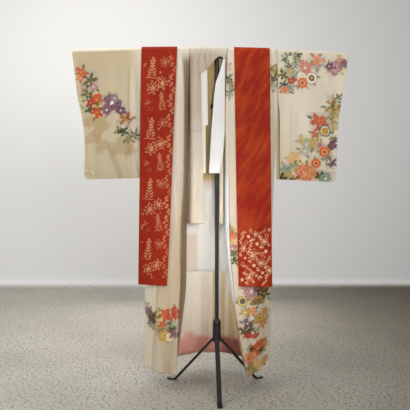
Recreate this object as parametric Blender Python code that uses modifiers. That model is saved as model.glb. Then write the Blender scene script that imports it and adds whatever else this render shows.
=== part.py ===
"""A lined kimono hung open over the crossbar of a T-shaped stand, with its obi laid over the shoulders.

Metres, +Z up, X to the right and Y away from someone who faces the open front. "Left" and "right" are
theirs. The origin is on the floor, in the middle of the whole part.

Cloth is drawn from two numbers: x, and its drop below the axis of the crossbar. It hangs down in front,
turns over the bar on a half circle and hangs down behind, where its drop counts again from the axis.
"""
import math

import bmesh
import bpy
import numpy as np

# Stand
BAR_Z = 1.616               # axis of the crossbar in the middle
BAR_RADIUS = 0.0125
BAR_ENDS = (-0.640, 0.638)
BAR_ARCH = 0.017            # how far both ends bend down
BAR_TILT = 0.007            # how much further the right end lies down
HALF_SPAN = 0.651           # half the width over both sleeves
POLE_X = 0.033
POLE_Y = 0.0055
POLE_RADIUS = 0.0095
HUB_BOTTOM = 0.222
HUB_TOP = 0.335
HUB_RADIUS = 0.0195
FOOT_REACH = 0.2745         # from the pole to the tip of a foot
TRIPOD_TURN = 2.0           # degrees
LEG_WIDTH = 0.022
LEG_THICK = 0.009
KNOB_Z = 1.355

# Cloth
SEAT = 0.0003               # gap between touching pieces
WALL = 0.002                # body, sleeves and overlaps, with their lining
COLLAR_WALL = 0.0016
THIN_WALL = 0.0012          # over-collar and linings
OBI_WALL = 0.003            # the belt is folded double
OBI_WIDTH = 0.167
ARC_STEPS = 8               # facets of a cloth over the bar
HEM_Z = 0.072
BACK_HEM_Z = 0.098
SLEEVE_DEPTH = 0.602
CUFF_OPENING = 0.23         # below the bar, also the length sewn to the body
KEN_SAKI = 0.26             # drop of the top point of the overlap panel
COLLAR_END = 0.82
OVER_COLLAR_END = 0.38
LINING_SEAM = 1.075         # drop of the seam between the two back linings
OBI_FRONT_END = 1.112
OBI_LOOP_DROP = 0.70        # top edge of the obi where it crosses the back
OBI_SHIFT = 0.010           # how far it hangs further in behind than over the bar
OBI_REACH = 0.030           # it spans hollows of the back narrower than twice this
OBI_LAYER = 0.0051          # from the middle of one layer of it to the middle of the next
LOWEST_DROP = 1.56          # last row of the tables
COLLAR_LIFT = 0.010         # how far the collar's ends stand forward of its top
SLEEVE_CORNER = 0.030       # radius of a sleeve's lower corner
OKUMI_RISE = {"left": 0.050, "right": 0.072}
RISE_START = 1.20           # drop where an overlap panel begins to rise towards its hem

# Sections of a front at one drop: side seam, face, lip of the fold, and edge of the overlap
FRONT_COLUMNS = ("drop", "side_out", "face_out", "face_y", "lip_out", "lip_y", "edge_out", "edge_y")
FRONT = {
    "left": (
        (0.00, 0.3150, 0.240, -0.0141, 0.1450, -0.0141, 0.0960, -0.0141),
        (0.08, 0.3150, 0.240, -0.0200, 0.1300, -0.0260, 0.0990, -0.0100),
        (0.30, 0.3155, 0.240, -0.0300, 0.1250, -0.0380, 0.1040, -0.0040),
        (0.60, 0.3160, 0.240, -0.0360, 0.1280, -0.0440, 0.1060, -0.0020),
        (0.84, 0.3180, 0.240, -0.0400, 0.1420, -0.0480, 0.1120, 0.0060),
        (1.12, 0.3200, 0.244, -0.0360, 0.1460, -0.0490, 0.1165, 0.0500),
        (1.30, 0.3220, 0.246, -0.0300, 0.1530, -0.0500, 0.1360, 0.0720),
        (1.56, 0.3250, 0.247, 0.0000, 0.1590, -0.0520, 0.1680, 0.0860),
    ),
    "right": (
        (0.00, 0.3150, 0.200, -0.0141, 0.1000, -0.0141, 0.0830, -0.0141),
        (0.08, 0.3180, 0.200, -0.0200, 0.0850, -0.0240, 0.0760, -0.0100),
        (0.30, 0.3200, 0.190, -0.0280, 0.0760, -0.0340, 0.0705, -0.0020),
        (0.60, 0.3060, 0.185, -0.0340, 0.0755, -0.0400, 0.0700, 0.0000),
        (0.84, 0.3000, 0.185, -0.0380, 0.0770, -0.0460, 0.0710, 0.0060),
        (1.12, 0.2970, 0.195, -0.0380, 0.1060, -0.0520, 0.0980, 0.0400),
        (1.30, 0.2990, 0.205, -0.0350, 0.1350, -0.0580, 0.1250, 0.0700),
        (1.56, 0.3000, 0.235, 0.0200, 0.1830, -0.0650, 0.1700, 0.1150),
    ),
}
# Side seam, the same for front and back: its depth, and how far the two edges are from it
SEAM_COLUMNS = ("drop", "y", "half_gap")
SEAM = (
    (0.00, 0.000, 0.0141),
    (0.08, 0.000, 0.0141),
    (0.26, 0.000, 0.0110),
    (0.42, 0.002, 0.0016),
    (0.60, 0.006, 0.0016),
    (0.84, 0.026, 0.0016),
    (1.12, 0.060, 0.0016),
    (1.30, 0.083, 0.0016),
    (1.56, 0.114, 0.0016),
)
# Sections of the back: a fold that stands forward, a trough, and the centre seam
BACK_COLUMNS = ("drop", "fold_out", "fold_y", "trough_out", "trough_y", "centre_out", "centre_y")
BACK = {
    "left": (
        (0.000, 0.220, 0.0141, 0.150, 0.0141, 0.0960, 0.0141),
        (0.006, 0.200, 0.0141, 0.080, 0.0141, 0.0003, 0.0141),
        (0.300, 0.175, 0.0200, 0.060, 0.0300, 0.0003, 0.0240),
        (0.600, 0.150, 0.0320, 0.055, 0.0500, 0.0003, 0.0450),
        (0.840, 0.140, 0.0550, 0.050, 0.0850, 0.0003, 0.0750),
        (1.120, 0.130, 0.1050, 0.045, 0.1450, 0.0003, 0.1280),
        (1.300, 0.130, 0.1500, 0.045, 0.2000, 0.0003, 0.1800),
        (1.560, 0.130, 0.2150, 0.045, 0.2760, 0.0003, 0.2600),
    ),
    "right": (
        (0.000, 0.210, 0.0141, 0.140, 0.0141, 0.0830, 0.0141),
        (0.006, 0.200, 0.0141, 0.080, 0.0141, 0.0003, 0.0141),
        (0.300, 0.090, 0.0210, 0.045, 0.0280, 0.0003, 0.0240),
        (0.600, 0.076, 0.0290, 0.040, 0.0460, 0.0003, 0.0450),
        (0.840, 0.074, 0.0400, 0.038, 0.0780, 0.0003, 0.0750),
        (1.120, 0.098, 0.0800, 0.045, 0.1380, 0.0003, 0.1280),
        (1.300, 0.125, 0.1320, 0.052, 0.1950, 0.0003, 0.1800),
        (1.560, 0.150, 0.2120, 0.055, 0.2680, 0.0003, 0.2600),
    ),
}
# Soft folds in the lower fronts: where each runs, how wide it is and how far it stands forward
FOLD_COLUMNS = ("side", "top_x", "hem_x", "width", "height", "top_drop")
FRONT_FOLDS = (
    ("left", -0.262, -0.296, 0.016, -0.016, 1.00),
    ("left", -0.235, -0.205, 0.014, -0.010, 1.15),
    ("left", -0.170, -0.250, 0.020, 0.008, 0.90),
    ("right", 0.265, 0.270, 0.018, -0.012, 1.00),
    ("right", 0.150, 0.215, 0.016, -0.008, 1.05),
)
# Sleeves: the outer edge, and the edge beside the body on the front and on the back wall
SLEEVE_COLUMNS = ("drop", "outer", "front_inner", "back_inner", "half_depth")
SLEEVE = {
    "left": (
        (0.00, 0.6510, 0.3158, 0.3158, 0.0141),
        (0.10, 0.6390, 0.3158, 0.3158, 0.0138),
        (0.20, 0.6280, 0.3158, 0.3158, 0.0132),
        (0.30, 0.6100, 0.3162, 0.3162, 0.0126),
        (0.41, 0.5985, 0.3166, 0.3166, 0.0122),
        (0.60, 0.6020, 0.3168, 0.3168, 0.0110),
    ),
    "right": (
        (0.00, 0.6500, 0.3158, 0.3158, 0.0141),
        (0.10, 0.6410, 0.3196, 0.3196, 0.0138),
        (0.20, 0.6240, 0.3216, 0.3216, 0.0132),
        (0.30, 0.6120, 0.3310, 0.3208, 0.0126),
        (0.41, 0.6070, 0.3320, 0.3180, 0.0122),
        (0.60, 0.6020, 0.3330, 0.3175, 0.0110),
    ),
}
# Collar: inner edge of its two hanging legs, and its lower edge between them in front of the bar
LEG_COLUMNS = ("drop", "inner_x")
COLLAR_LEGS = {
    "left": ((0.00, -0.0430), (0.22, -0.0420), (0.38, -0.0380), (0.54, -0.0340), (0.82, -0.0290)),
    "right": ((0.00, 0.0615), (0.11, 0.0600), (0.28, 0.0520), (0.48, 0.0470), (0.82, 0.0460)),
}
# Lower edge of the neck, as x and drop
NECK_EDGE = (
    (-0.0430, 0.110), (-0.0120, 0.086), (0.0140, 0.057), (0.0300, 0.038), (0.0450, 0.030), (0.0615, 0.034),
)
COLLAR_SHARES = (0.0, 0.14, 0.34, 0.67, 1.0)
COLLAR_ANGLES = (163.0, 150.0, 120.0, 90.0, 60.0, 30.0, 0.0)
VALLEY_GAP = 0.0034         # between the collar and the overlap where both turn back
# White linings of the collar, below the neck: the two edges at each drop
STRIP_COLUMNS = ("drop", "left_x", "right_x")
COLLAR_LINING = {
    "left": (
        (0.088, -0.0560, -0.0130),
        (0.160, -0.0540, -0.0115),
        (0.260, -0.0520, -0.0105),
        (0.352, -0.0500, -0.0100),
        (0.360, -0.0500, -0.0215),
        (0.460, -0.0480, -0.0210),
        (0.580, -0.0480, -0.0205),
    ),
    "right": (
        (0.044, 0.0620, 0.0705),
        (0.106, 0.0438, 0.0705),
        (0.153, 0.0267, 0.0705),
        (0.215, 0.0187, 0.0705),
        (0.280, 0.0139, 0.0705),
        (0.385, 0.0054, 0.0700),
        (0.470, 0.0015, 0.0640),
        (0.580, -0.0050, 0.0471),
    ),
}
# Obi in front of each shoulder: its outer and inner edge
OBI_COLUMNS = ("drop", "outer_x", "outer_y", "inner_x", "inner_y")
OBI_FRONT = {
    "left": (
        (0.00, -0.3228, -0.0170, -0.1556, -0.0170),
        (0.08, -0.3240, -0.0240, -0.1580, -0.0290),
        (0.30, -0.3280, -0.0300, -0.1680, -0.0410),
        (0.60, -0.3330, -0.0300, -0.1800, -0.0490),
        (0.84, -0.3380, -0.0260, -0.1900, -0.0540),
        (1.12, -0.3444, -0.0060, -0.2043, -0.0620),
    ),
    "right": (
        (0.00, 0.2805, -0.0170, 0.1133, -0.0170),
        (0.08, 0.2815, -0.0240, 0.1145, -0.0285),
        (0.30, 0.2840, -0.0320, 0.1180, -0.0400),
        (0.60, 0.2880, -0.0370, 0.1230, -0.0460),
        (0.84, 0.2910, -0.0390, 0.1280, -0.0520),
        (1.12, 0.2960, -0.0390, 0.1343, -0.0610),
    ),
}
SIGN = {"left": -1.0, "right": 1.0}
FRONT_ROWS = (0.03, 0.08, 0.15, KEN_SAKI, 0.38, 0.50, 0.62, 0.74, 0.86, 0.98, 1.09, 1.20, 1.31, 1.42)
BACK_ROWS = (0.006, 0.05, 0.15, 0.27, 0.39, 0.51, 0.63, 0.75, 0.87, 0.98, LINING_SEAM, 1.19, 1.30, 1.41)


def bar_z(x):
    """Height of the crossbar's axis, which bends down to both ends."""
    share = x / HALF_SPAN
    return BAR_Z - BAR_ARCH * share * share - BAR_TILT * share


def eased(keys, values, at):
    """Value at a place between keyed values, on a curve that never overshoots them."""
    at = min(max(at, keys[0]), keys[-1])
    steps = [b - a for a, b in zip(keys, keys[1:])]
    slopes = [(b - a) / step for a, b, step in zip(values, values[1:], steps)]
    tangents = [slopes[0]]
    for before, after in zip(slopes, slopes[1:]):
        level = before * after <= 0.0
        tangents.append(0.0 if level else 2.0 * before * after / (before + after))
    tangents.append(slopes[-1])
    i = 0
    while i < len(steps) - 1 and at > keys[i + 1]:
        i += 1
    t = (at - keys[i]) / steps[i]
    rise = values[i + 1] - values[i]
    cubic = t * t * (3.0 - 2.0 * t)
    lean = t * (1.0 - t) ** 2 * tangents[i] - t * t * (1.0 - t) * tangents[i + 1]
    return values[i] + rise * cubic + steps[i] * lean


def row_at(columns, rows, drop):
    """One section of a table, between its rows, by column name."""
    keys = [row[0] for row in rows]
    return {name: eased(keys, [row[k] for row in rows], drop) for k, name in enumerate(columns) if k}


def through(points, place):
    """Point on a smooth curve through the given points, which lie at places 0, 1, 2 and so on."""
    keys = list(range(len(points)))
    return tuple(eased(keys, [p[axis] for p in points], place) for axis in (0, 1))


def drape_radius(clear, wall, facet):
    """Radius of a wall's middle over the bar, so that its facets stay outside a given radius."""
    return (clear + SEAT + wall / 2.0) / math.cos(math.radians(facet / 2.0))


BODY_FACET = 180.0 / ARC_STEPS
BODY_DRAPE = drape_radius(BAR_RADIUS, WALL, BODY_FACET)
COLLAR_DRAPE = drape_radius(BAR_RADIUS, COLLAR_WALL, 30.0)
BODY_OUTSIDE = BODY_DRAPE * math.cos(math.radians(BODY_FACET / 2.0)) + WALL / 2.0
OBI_DRAPE = drape_radius(BODY_OUTSIDE, OBI_WALL, BODY_FACET)


def over_bar(x, radius, share):
    """Point over the bar: share 0 is level with its axis in front, and share 1 behind."""
    angle = math.pi * share
    return (x, -radius * math.cos(angle), bar_z(x) + radius * math.sin(angle))


def fold_height(side, x, drop):
    """How far the soft folds push a front towards the viewer."""
    total = 0.0
    for fold in FRONT_FOLDS:
        row = dict(zip(FOLD_COLUMNS, fold))
        if row["side"] != side or drop <= row["top_drop"]:
            continue
        run = (drop - row["top_drop"]) / (LOWEST_DROP - row["top_drop"])
        middle = row["top_x"] + (row["hem_x"] - row["top_x"]) * run
        grown = run * run * (3.0 - 2.0 * run)
        total += row["height"] * grown * math.exp(-((x - middle) / row["width"]) ** 2)
    return total


def front_point(side, place, drop):
    """Point of a front. Place 0 is the side seam, 1 the face, 2 the lip and 3 the free edge."""
    row = row_at(FRONT_COLUMNS, FRONT[side], drop)
    seam = row_at(SEAM_COLUMNS, SEAM, drop)
    plan = [(row["side_out"], seam["y"] - seam["half_gap"])]
    plan += [(row[name + "_out"], row[name + "_y"]) for name in ("face", "lip", "edge")]
    out, y = through(plan, place)
    x = SIGN[side] * out
    fade = min(1.0, place, max(0.0, 2.0 - place) * 2.0)
    return (x, y - fold_height(side, x, drop) * fade, bar_z(x) - drop)


def back_point(side, place, drop):
    """Point of a back. Place 0 is the side seam, 1 the fold, 2 the trough and 3 the centre seam."""
    row = row_at(BACK_COLUMNS, BACK[side], drop)
    seam = row_at(SEAM_COLUMNS, SEAM, drop)
    side_out = row_at(FRONT_COLUMNS, FRONT[side], drop)["side_out"]
    plan = [(side_out, seam["y"] + seam["half_gap"])]
    plan += [(row[name + "_out"], row[name + "_y"]) for name in ("fold", "trough", "centre")]
    other = row_at(BACK_COLUMNS, BACK["right" if side == "left" else "left"], drop)
    plan.append((-other["trough_out"], other["trough_y"]))
    out, y = through(plan, place)
    x = SIGN[side] * out
    return (x, y, bar_z(x) - drop)


def overlap_start(drop):
    """Place along a front where the body panel ends and the overlap panel begins."""
    return eased((0.0, KEN_SAKI, 0.38, 0.50, 0.62, 1.6), (3.0, 2.92, 2.66, 2.26, 1.86, 1.86), drop)


def hem_drop(x, hem_z):
    return bar_z(x) - hem_z


def panel_y(side, x, drop, behind):
    """Depth of the front or back panel at x, read along its section."""
    point = back_point if behind else front_point
    places = [k / 12.0 for k in range(37 if behind else 25)]
    samples = sorted((p[0], p[1]) for p in (point(side, place, drop) for place in places))
    return float(np.interp(x, [s[0] for s in samples], [s[1] for s in samples]))


def normals_of(points):
    """Unit normals of a grid of points."""
    along = np.gradient(points, axis=0)
    across = np.gradient(points, axis=1)
    normal = np.cross(across, along)
    return normal / np.linalg.norm(normal, axis=2, keepdims=True)


def moved_out(points, distance):
    return points + normals_of(points) * distance


def material(name, colour, roughness, metallic=0.0):
    made = bpy.data.materials.new(name)
    made.use_nodes = True
    shader = made.node_tree.nodes["Principled BSDF"]
    shader.inputs["Base Color"].default_value = (*colour, 1.0)
    shader.inputs["Roughness"].default_value = roughness
    shader.inputs["Metallic"].default_value = metallic
    return made


def add_object(name, mesh, collection, finish, smooth_angle=None):
    made = bpy.data.objects.new(name, mesh)
    collection.objects.link(made)
    mesh.materials.append(finish)
    if smooth_angle is not None:
        mesh.shade_smooth()
        mesh.set_sharp_from_angle(angle=math.radians(smooth_angle))
    return made


def add_cloth(name, points, wall, collection, finish, is_cloth=None):
    """A sheet through a grid of points, rows by columns, thickened to both sides."""
    points = np.asarray(points, dtype=float)
    rows, columns = points.shape[0] - 1, points.shape[1] - 1
    work = bmesh.new()
    bmesh.ops.create_grid(work, x_segments=columns, y_segments=rows, size=0.5)
    for vertex in work.verts:
        column = round((vertex.co.x + 0.5) * columns)
        row = round((vertex.co.y + 0.5) * rows)
        vertex.co = points[row, column] + np.array((0.0, POLE_Y, 0.0))
    if is_cloth is not None:
        work.faces.ensure_lookup_table()
        spare = [face for k, face in enumerate(work.faces) if not is_cloth(k // columns, k % columns)]
        bmesh.ops.delete(work, geom=spare, context="FACES")
    mesh = bpy.data.meshes.new(name)
    work.to_mesh(mesh)
    work.free()
    mesh.shade_smooth()
    made = add_object(name, mesh, collection, finish)
    thick = made.modifiers.new("wall", "SOLIDIFY")
    thick.thickness = wall
    thick.offset = 0.0
    thick.use_even_offset = True
    thick.use_quality_normals = True
    return made


def body_rows(side, columns=14):
    """Grid of a body panel: front hem, over the shoulder, back hem."""
    grid = []
    front_hem = hem_drop(SIGN[side] * 0.24, HEM_Z)
    for drop in [front_hem] + list(reversed(FRONT_ROWS)):
        last = overlap_start(drop)
        if drop >= KEN_SAKI:
            last -= seam_share(side, last, drop)
        grid.append([front_point(side, last * k / columns, drop) for k in range(columns + 1)])
    for step in range(ARC_STEPS + 1):
        row = row_at(FRONT_COLUMNS, FRONT[side], 0.0)
        outs = (row["side_out"], row["edge_out"])
        xs = [SIGN[side] * (outs[0] + (outs[1] - outs[0]) * k / columns) for k in range(columns + 1)]
        grid.append([over_bar(x, BODY_DRAPE, step / ARC_STEPS) for x in xs])
    back_hem = hem_drop(SIGN[side] * 0.1, BACK_HEM_Z)
    for drop in list(BACK_ROWS) + [back_hem]:
        grid.append([back_point(side, 3.0 * k / columns, drop) for k in range(columns + 1)])
    return np.array(grid)


def seam_share(side, place, drop):
    """A seam's gap as a step along the section of a front."""
    a = np.array(front_point(side, place - 0.02, drop))
    b = np.array(front_point(side, place + 0.02 if place < 2.98 else place, drop))
    span = (0.04 if place < 2.98 else 0.02) / np.linalg.norm(b - a)
    return 1.6 * SEAT * span


def okumi_rows(side, columns=7):
    """Grid of an overlap panel, whose hem rises towards its free edge."""
    hem = hem_drop(SIGN[side] * 0.17, HEM_Z)
    grid = []
    for drop in [hem] + [d for d in reversed(FRONT_ROWS) if d >= KEN_SAKI]:
        first = overlap_start(drop)
        first += seam_share(side, first, drop)
        line = []
        for k in range(columns + 1):
            share = k / columns
            lifted = max(0.0, (drop - RISE_START) / (hem - RISE_START))
            low = drop - OKUMI_RISE[side] * share * share * lifted
            line.append(front_point(side, first + (3.0 - first) * share, low))
        grid.append(line)
    return np.array(grid)


def sleeve_rows(side, columns=8):
    """Grid of a sleeve: from its bottom in front, over the bar, to its bottom behind."""
    drops = (0.03, 0.08, 0.15, CUFF_OPENING, 0.29, 0.36, 0.44, 0.52, 0.565, 0.59, SLEEVE_DEPTH)
    closed = WALL / 2.0 + SEAT

    def wall_row(drop, front):
        row = row_at(SLEEVE_COLUMNS, SLEEVE[side], drop)
        inner = row["front_inner" if front else "back_inner"]
        low = max(0.0, drop - (SLEEVE_DEPTH - SLEEVE_CORNER)) / SLEEVE_CORNER
        outer = row["outer"] - SLEEVE_CORNER * (1.0 - math.sqrt(max(0.0, 1.0 - low * low))) * 0.8
        bottom = eased((0.0, 0.40, 0.56, SLEEVE_DEPTH), (1.0, 1.0, 0.6, 0.0), drop)
        line = []
        for k in range(columns + 1):
            share = k / columns
            sewn = eased((0.0, CUFF_OPENING, 0.32, 0.7), (1.0, 1.0, 0.0, 0.0), drop)
            near_edge = eased((0.0, 0.72, 1.0), (1.0, 1.0, sewn), share)
            half = closed + (row["half_depth"] - closed) * bottom * near_edge
            out = inner + (outer - inner) * share
            wave = 0.0035 * math.sin(27.0 * (out - 0.27)) * min(1.0, drop / 0.2)
            x = SIGN[side] * out
            line.append((x, wave + (-half if front else half), bar_z(x) - drop))
        return line

    grid = [wall_row(drop, True) for drop in reversed(drops)]
    top = row_at(SLEEVE_COLUMNS, SLEEVE[side], 0.0)
    for step in range(ARC_STEPS + 1):
        span = top["outer"] - top["front_inner"]
        outs = [top["front_inner"] + span * k / columns for k in range(columns + 1)]
        grid.append([over_bar(SIGN[side] * out, BODY_DRAPE, step / ARC_STEPS) for out in outs])
    grid += [wall_row(drop, False) for drop in drops]
    return np.array(grid)


def collar_face(drop):
    """Depth of the collar's face below the bar."""
    return -COLLAR_DRAPE - COLLAR_LIFT * min(1.0, max(0.0, drop) / COLLAR_END)


def collar_point(side, share, drop, lift):
    """Point of a leg of the collar. Share 0 is its outer edge, in the fold beside the front."""
    front = row_at(FRONT_COLUMNS, FRONT[side], drop)
    inner = abs(row_at(LEG_COLUMNS, COLLAR_LEGS[side], drop)["inner_x"])
    deep = min(1.0, drop / 0.10)
    outer = front["edge_out"] - 3.0 * SEAT - (VALLEY_GAP - 3.0 * SEAT) * deep
    turned = max(0.0, 1.0 - share / COLLAR_SHARES[2]) ** 2 * deep
    y = collar_face(drop) + (front["edge_y"] - collar_face(drop)) * turned
    x = SIGN[side] * (outer + (inner - outer) * share)
    return (x, y - lift, bar_z(x) - drop)


def collar_rows(lift=0.0):
    """Grid of the collar from behind the bar to its two ends, and which of its cells are cloth.

    Its columns are the left leg, the neck and the right leg. Below the neck only the legs go on.
    """
    legs = {"left": COLLAR_SHARES, "right": (1.0, 0.6, COLLAR_SHARES[2], 0.0)}
    neck_steps, neck_rows = 5, 3
    starts = {"left": NECK_EDGE[0][1], "right": NECK_EDGE[-1][1]}
    neck_width = NECK_EDGE[-1][0] - NECK_EDGE[0][0]
    neck_xs = [NECK_EDGE[0][0] + neck_width * k / neck_steps for k in range(1, neck_steps)]
    keys = [row[0] for row in NECK_EDGE]
    below = [OVER_COLLAR_END + (COLLAR_END - OVER_COLLAR_END) * k / 5 for k in range(1, 6)]
    grid = []
    for angle in COLLAR_ANGLES[:-1]:
        xs = [collar_point("left", share, 0.0, 0.0)[0] for share in legs["left"]] + neck_xs
        xs += [collar_point("right", share, 0.0, 0.0)[0] for share in legs["right"]]
        grid.append([over_bar(x, COLLAR_DRAPE + lift, angle / 180.0) for x in xs])
    for r in range(neck_rows + 1):
        down = r / neck_rows
        line = [collar_point("left", share, starts["left"] * down, lift) for share in legs["left"]]
        for x in neck_xs:
            drop = eased(keys, [row[1] for row in NECK_EDGE], x) * down
            line.append((x, collar_face(drop) - lift, bar_z(x) - drop))
        line += [collar_point("right", share, starts["right"] * down, lift) for share in legs["right"]]
        grid.append(line)
    for k in range(1, 11):
        line = []
        for side in ("left", "right"):
            down = starts[side] + (OVER_COLLAR_END - starts[side]) * k / 5 if k <= 5 else below[k - 6]
            line += [collar_point(side, share, down, lift) for share in legs[side]]
            if side == "left":
                line += [(x, collar_face(down) - lift, bar_z(x) - down) for x in neck_xs]
        grid.append(line)
    last_neck = len(COLLAR_ANGLES) - 1 + neck_rows
    first, last = len(legs["left"]) - 1, len(legs["left"]) - 1 + neck_steps

    def is_cloth(row, column):
        return row < last_neck or not first <= column < last

    return np.array(grid), is_cloth


def strip_rows(table, behind, steps, columns=3):
    """Grid of a narrow strip given by its two edges, at a distance behind the collar's face."""
    grid = []
    for k, row in enumerate(table):
        drops = [row[0]]
        if k + 1 < len(table):
            drops += [row[0] + (table[k + 1][0] - row[0]) * s / steps for s in range(1, steps)]
        for drop in drops:
            edges = row_at(STRIP_COLUMNS, table, drop)
            width = edges["right_x"] - edges["left_x"]
            xs = [edges["left_x"] + width * c / columns for c in range(columns + 1)]
            grid.append([(x, collar_face(drop) + behind, bar_z(x) - drop) for x in xs])
    return np.array(grid)


def obi_rows(side, columns=4):
    """Grid of one hanging stretch of the obi: front end, over the shoulder, cut slanting behind."""
    fronts = [OBI_FRONT_END] + list(reversed((0.03, 0.08, 0.19, 0.32, 0.45, 0.58, 0.71, 0.84, 0.97)))
    grid = []
    for drop in fronts:
        row = row_at(OBI_COLUMNS, OBI_FRONT[side], drop)
        line = []
        for k in range(columns + 1):
            share = k / columns
            x = row["outer_x"] + (row["inner_x"] - row["outer_x"]) * share
            y = row["outer_y"] + (row["inner_y"] - row["outer_y"]) * share
            line.append((x, y, bar_z(x) - drop))
        grid.append(line)
    top = row_at(OBI_COLUMNS, OBI_FRONT[side], 0.0)
    width = top["inner_x"] - top["outer_x"]
    xs = [top["outer_x"] + width * k / columns for k in range(columns + 1)]
    for step in range(ARC_STEPS + 1):
        grid.append([over_bar(x, OBI_DRAPE, step / ARC_STEPS) for x in xs])
    for share in (0.04, 0.12, 0.25, 0.4, 0.55, 0.7, 0.85, 1.0):
        line = []
        for k, top_x in enumerate(xs):
            drop = share * (OBI_LOOP_DROP + OBI_WIDTH * k / columns)
            x = top_x - SIGN[side] * OBI_SHIFT * min(1.0, drop / 0.08)
            line.append((x, obi_back_y(x, drop), bar_z(x) - drop))
        grid.append(line)
    return np.array(grid)


def obi_back_y(x, drop):
    """Depth of the obi where it lies on the back."""
    nearby = [x + OBI_REACH * k / 3.0 for k in range(-3, 4)]
    low = max(drop, BACK_ROWS[0])
    follow = max(panel_y("left" if near < 0.0 else "right", near, low, True) for near in nearby)
    spare = 4.0 * SEAT * min(1.0, drop / 0.1)
    return max(OBI_DRAPE, follow + WALL / 2.0 + OBI_WALL / 2.0 + SEAT + spare)


def obi_loop_rows(columns=12, rows=3):
    """Grid of the stretch of obi that crosses the back, with its ends cut slanting at the folds."""
    left = OBI_FRONT["left"][0]
    right = OBI_FRONT["right"][0]
    grid = []
    for r in range(rows + 1):
        across = r / rows
        start = left[1] + (left[3] - left[1]) * across + OBI_SHIFT
        stop = right[1] + (right[3] - right[1]) * across - OBI_SHIFT
        line = []
        for k in range(columns + 1):
            x = start + (stop - start) * k / columns
            drop = OBI_LOOP_DROP + OBI_WIDTH * across
            line.append((x, obi_back_y(x, drop) + OBI_LAYER, bar_z(x) - drop))
        grid.append(line)
    return np.array(grid)


def build_cloth(collection, finishes):
    """Every piece of cloth."""
    silk, collar_silk = finishes["silk"], finishes["collar_silk"]
    for side in ("left", "right"):
        turn = SIGN[side]
        body = body_rows(side)
        add_cloth("body_" + side, body, WALL, collection, silk)
        add_cloth("okumi_" + side, okumi_rows(side), WALL, collection, silk)
        add_cloth("sleeve_" + side, sleeve_rows(side), WALL, collection, silk)
        add_cloth("obi_" + side, obi_rows(side), OBI_WALL, collection, finishes["obi"])
        back = body[-(len(BACK_ROWS) + 1):]
        inside = moved_out(back, turn * (WALL / 2.0 + SEAT + THIN_WALL / 2.0))
        seam = BACK_ROWS.index(LINING_SEAM)
        upper = inside[1:seam + 1, 1:].copy()
        lower = inside[seam:, 1:].copy()
        lower[0] += (lower[1] - lower[0]) * 0.006
        add_cloth("lining_upper_" + side, upper, THIN_WALL, collection, finishes["white_silk"])
        add_cloth("lining_lower_" + side, lower, THIN_WALL, collection, finishes["tinted_lining"])
    collar, is_cloth = collar_rows()
    add_cloth("collar", collar, COLLAR_WALL, collection, collar_silk, is_cloth)
    second = collar_rows(COLLAR_WALL / 2.0 + 1.3 * SEAT + THIN_WALL / 2.0)[0][:-5, 1:-1]
    add_cloth("over_collar", second, THIN_WALL, collection, collar_silk,
              lambda row, column: is_cloth(row, column + 1))
    behind = COLLAR_WALL / 2.0 + SEAT + THIN_WALL / 2.0
    before = behind + THIN_WALL + 2.0 * SEAT
    strips = {"left": behind, "right": -before}
    for side, shift in strips.items():
        rows = strip_rows(COLLAR_LINING[side], shift, 2)
        add_cloth("collar_lining_" + side, rows, THIN_WALL, collection, finishes["white_silk"])
    add_cloth("obi_back", obi_loop_rows(), OBI_WALL, collection, finishes["obi"])


def add_turned(name, profile, place, collection, finish, axis="Z", sides=24):
    """A turned piece from a profile of radius and height, listed from the top down."""
    work = bmesh.new()
    corners = [work.verts.new((radius, 0.0, height)) for radius, height in profile]
    for a, b in zip(corners, corners[1:]):
        work.edges.new((a, b))
    mesh = bpy.data.meshes.new(name)
    work.to_mesh(mesh)
    work.free()
    made = add_object(name, mesh, collection, finish)
    turn = made.modifiers.new("turn", "SCREW")
    turn.steps = sides
    turn.render_steps = sides
    turn.use_merge_vertices = True
    turn.merge_threshold = 0.0001
    turn.use_smooth_shade = True
    if axis == "X":
        made.rotation_euler = (0.0, -math.pi / 2.0, 0.0)
    made.location = place
    return made


def build_crossbar(collection, steel):
    curve = bpy.data.curves.new("stand_crossbar", "CURVE")
    curve.dimensions = "3D"
    curve.bevel_depth = BAR_RADIUS
    curve.bevel_resolution = 4
    curve.use_fill_caps = True
    count = 17
    line = curve.splines.new("POLY")
    line.points.add(count - 1)
    for k, point in enumerate(line.points):
        x = BAR_ENDS[0] + (BAR_ENDS[1] - BAR_ENDS[0]) * k / (count - 1)
        point.co = (x, POLE_Y, bar_z(x), 1.0)
    curve.materials.append(steel)
    collection.objects.link(bpy.data.objects.new("stand_crossbar", curve))


def build_pole(collection, steel):
    """The pole stands on the hub and ends under the crossbar."""
    low = HUB_TOP + SEAT
    high = bar_z(POLE_X) - BAR_RADIUS - SEAT
    add_turned("stand_pole", ((0.0, high - low), (POLE_RADIUS, high - low), (POLE_RADIUS, 0.0), (0.0, 0.0)),
               (POLE_X, POLE_Y, low), collection, steel, sides=20)
    knob = ((0.0, 0.020), (0.0080, 0.020), (0.0095, 0.0175), (0.0095, 0.0105), (0.0080, 0.0085),
            (0.0040, 0.0080), (0.0040, 0.0), (0.0, 0.0))
    add_turned("stand_knob", knob, (POLE_X - POLE_RADIUS - SEAT, POLE_Y, KNOB_Z), collection, steel,
               axis="X", sides=16)


def build_hub(collection, steel):
    tall = HUB_TOP - HUB_BOTTOM
    profile = ((0.0, tall), (0.0125, tall), (0.0165, tall - 0.008), (HUB_RADIUS, tall - 0.016),
               (HUB_RADIUS, 0.004), (HUB_RADIUS - 0.004, 0.0), (0.0, 0.0))
    add_turned("stand_hub", profile, (POLE_X, POLE_Y, HUB_BOTTOM), collection, steel)


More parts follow.
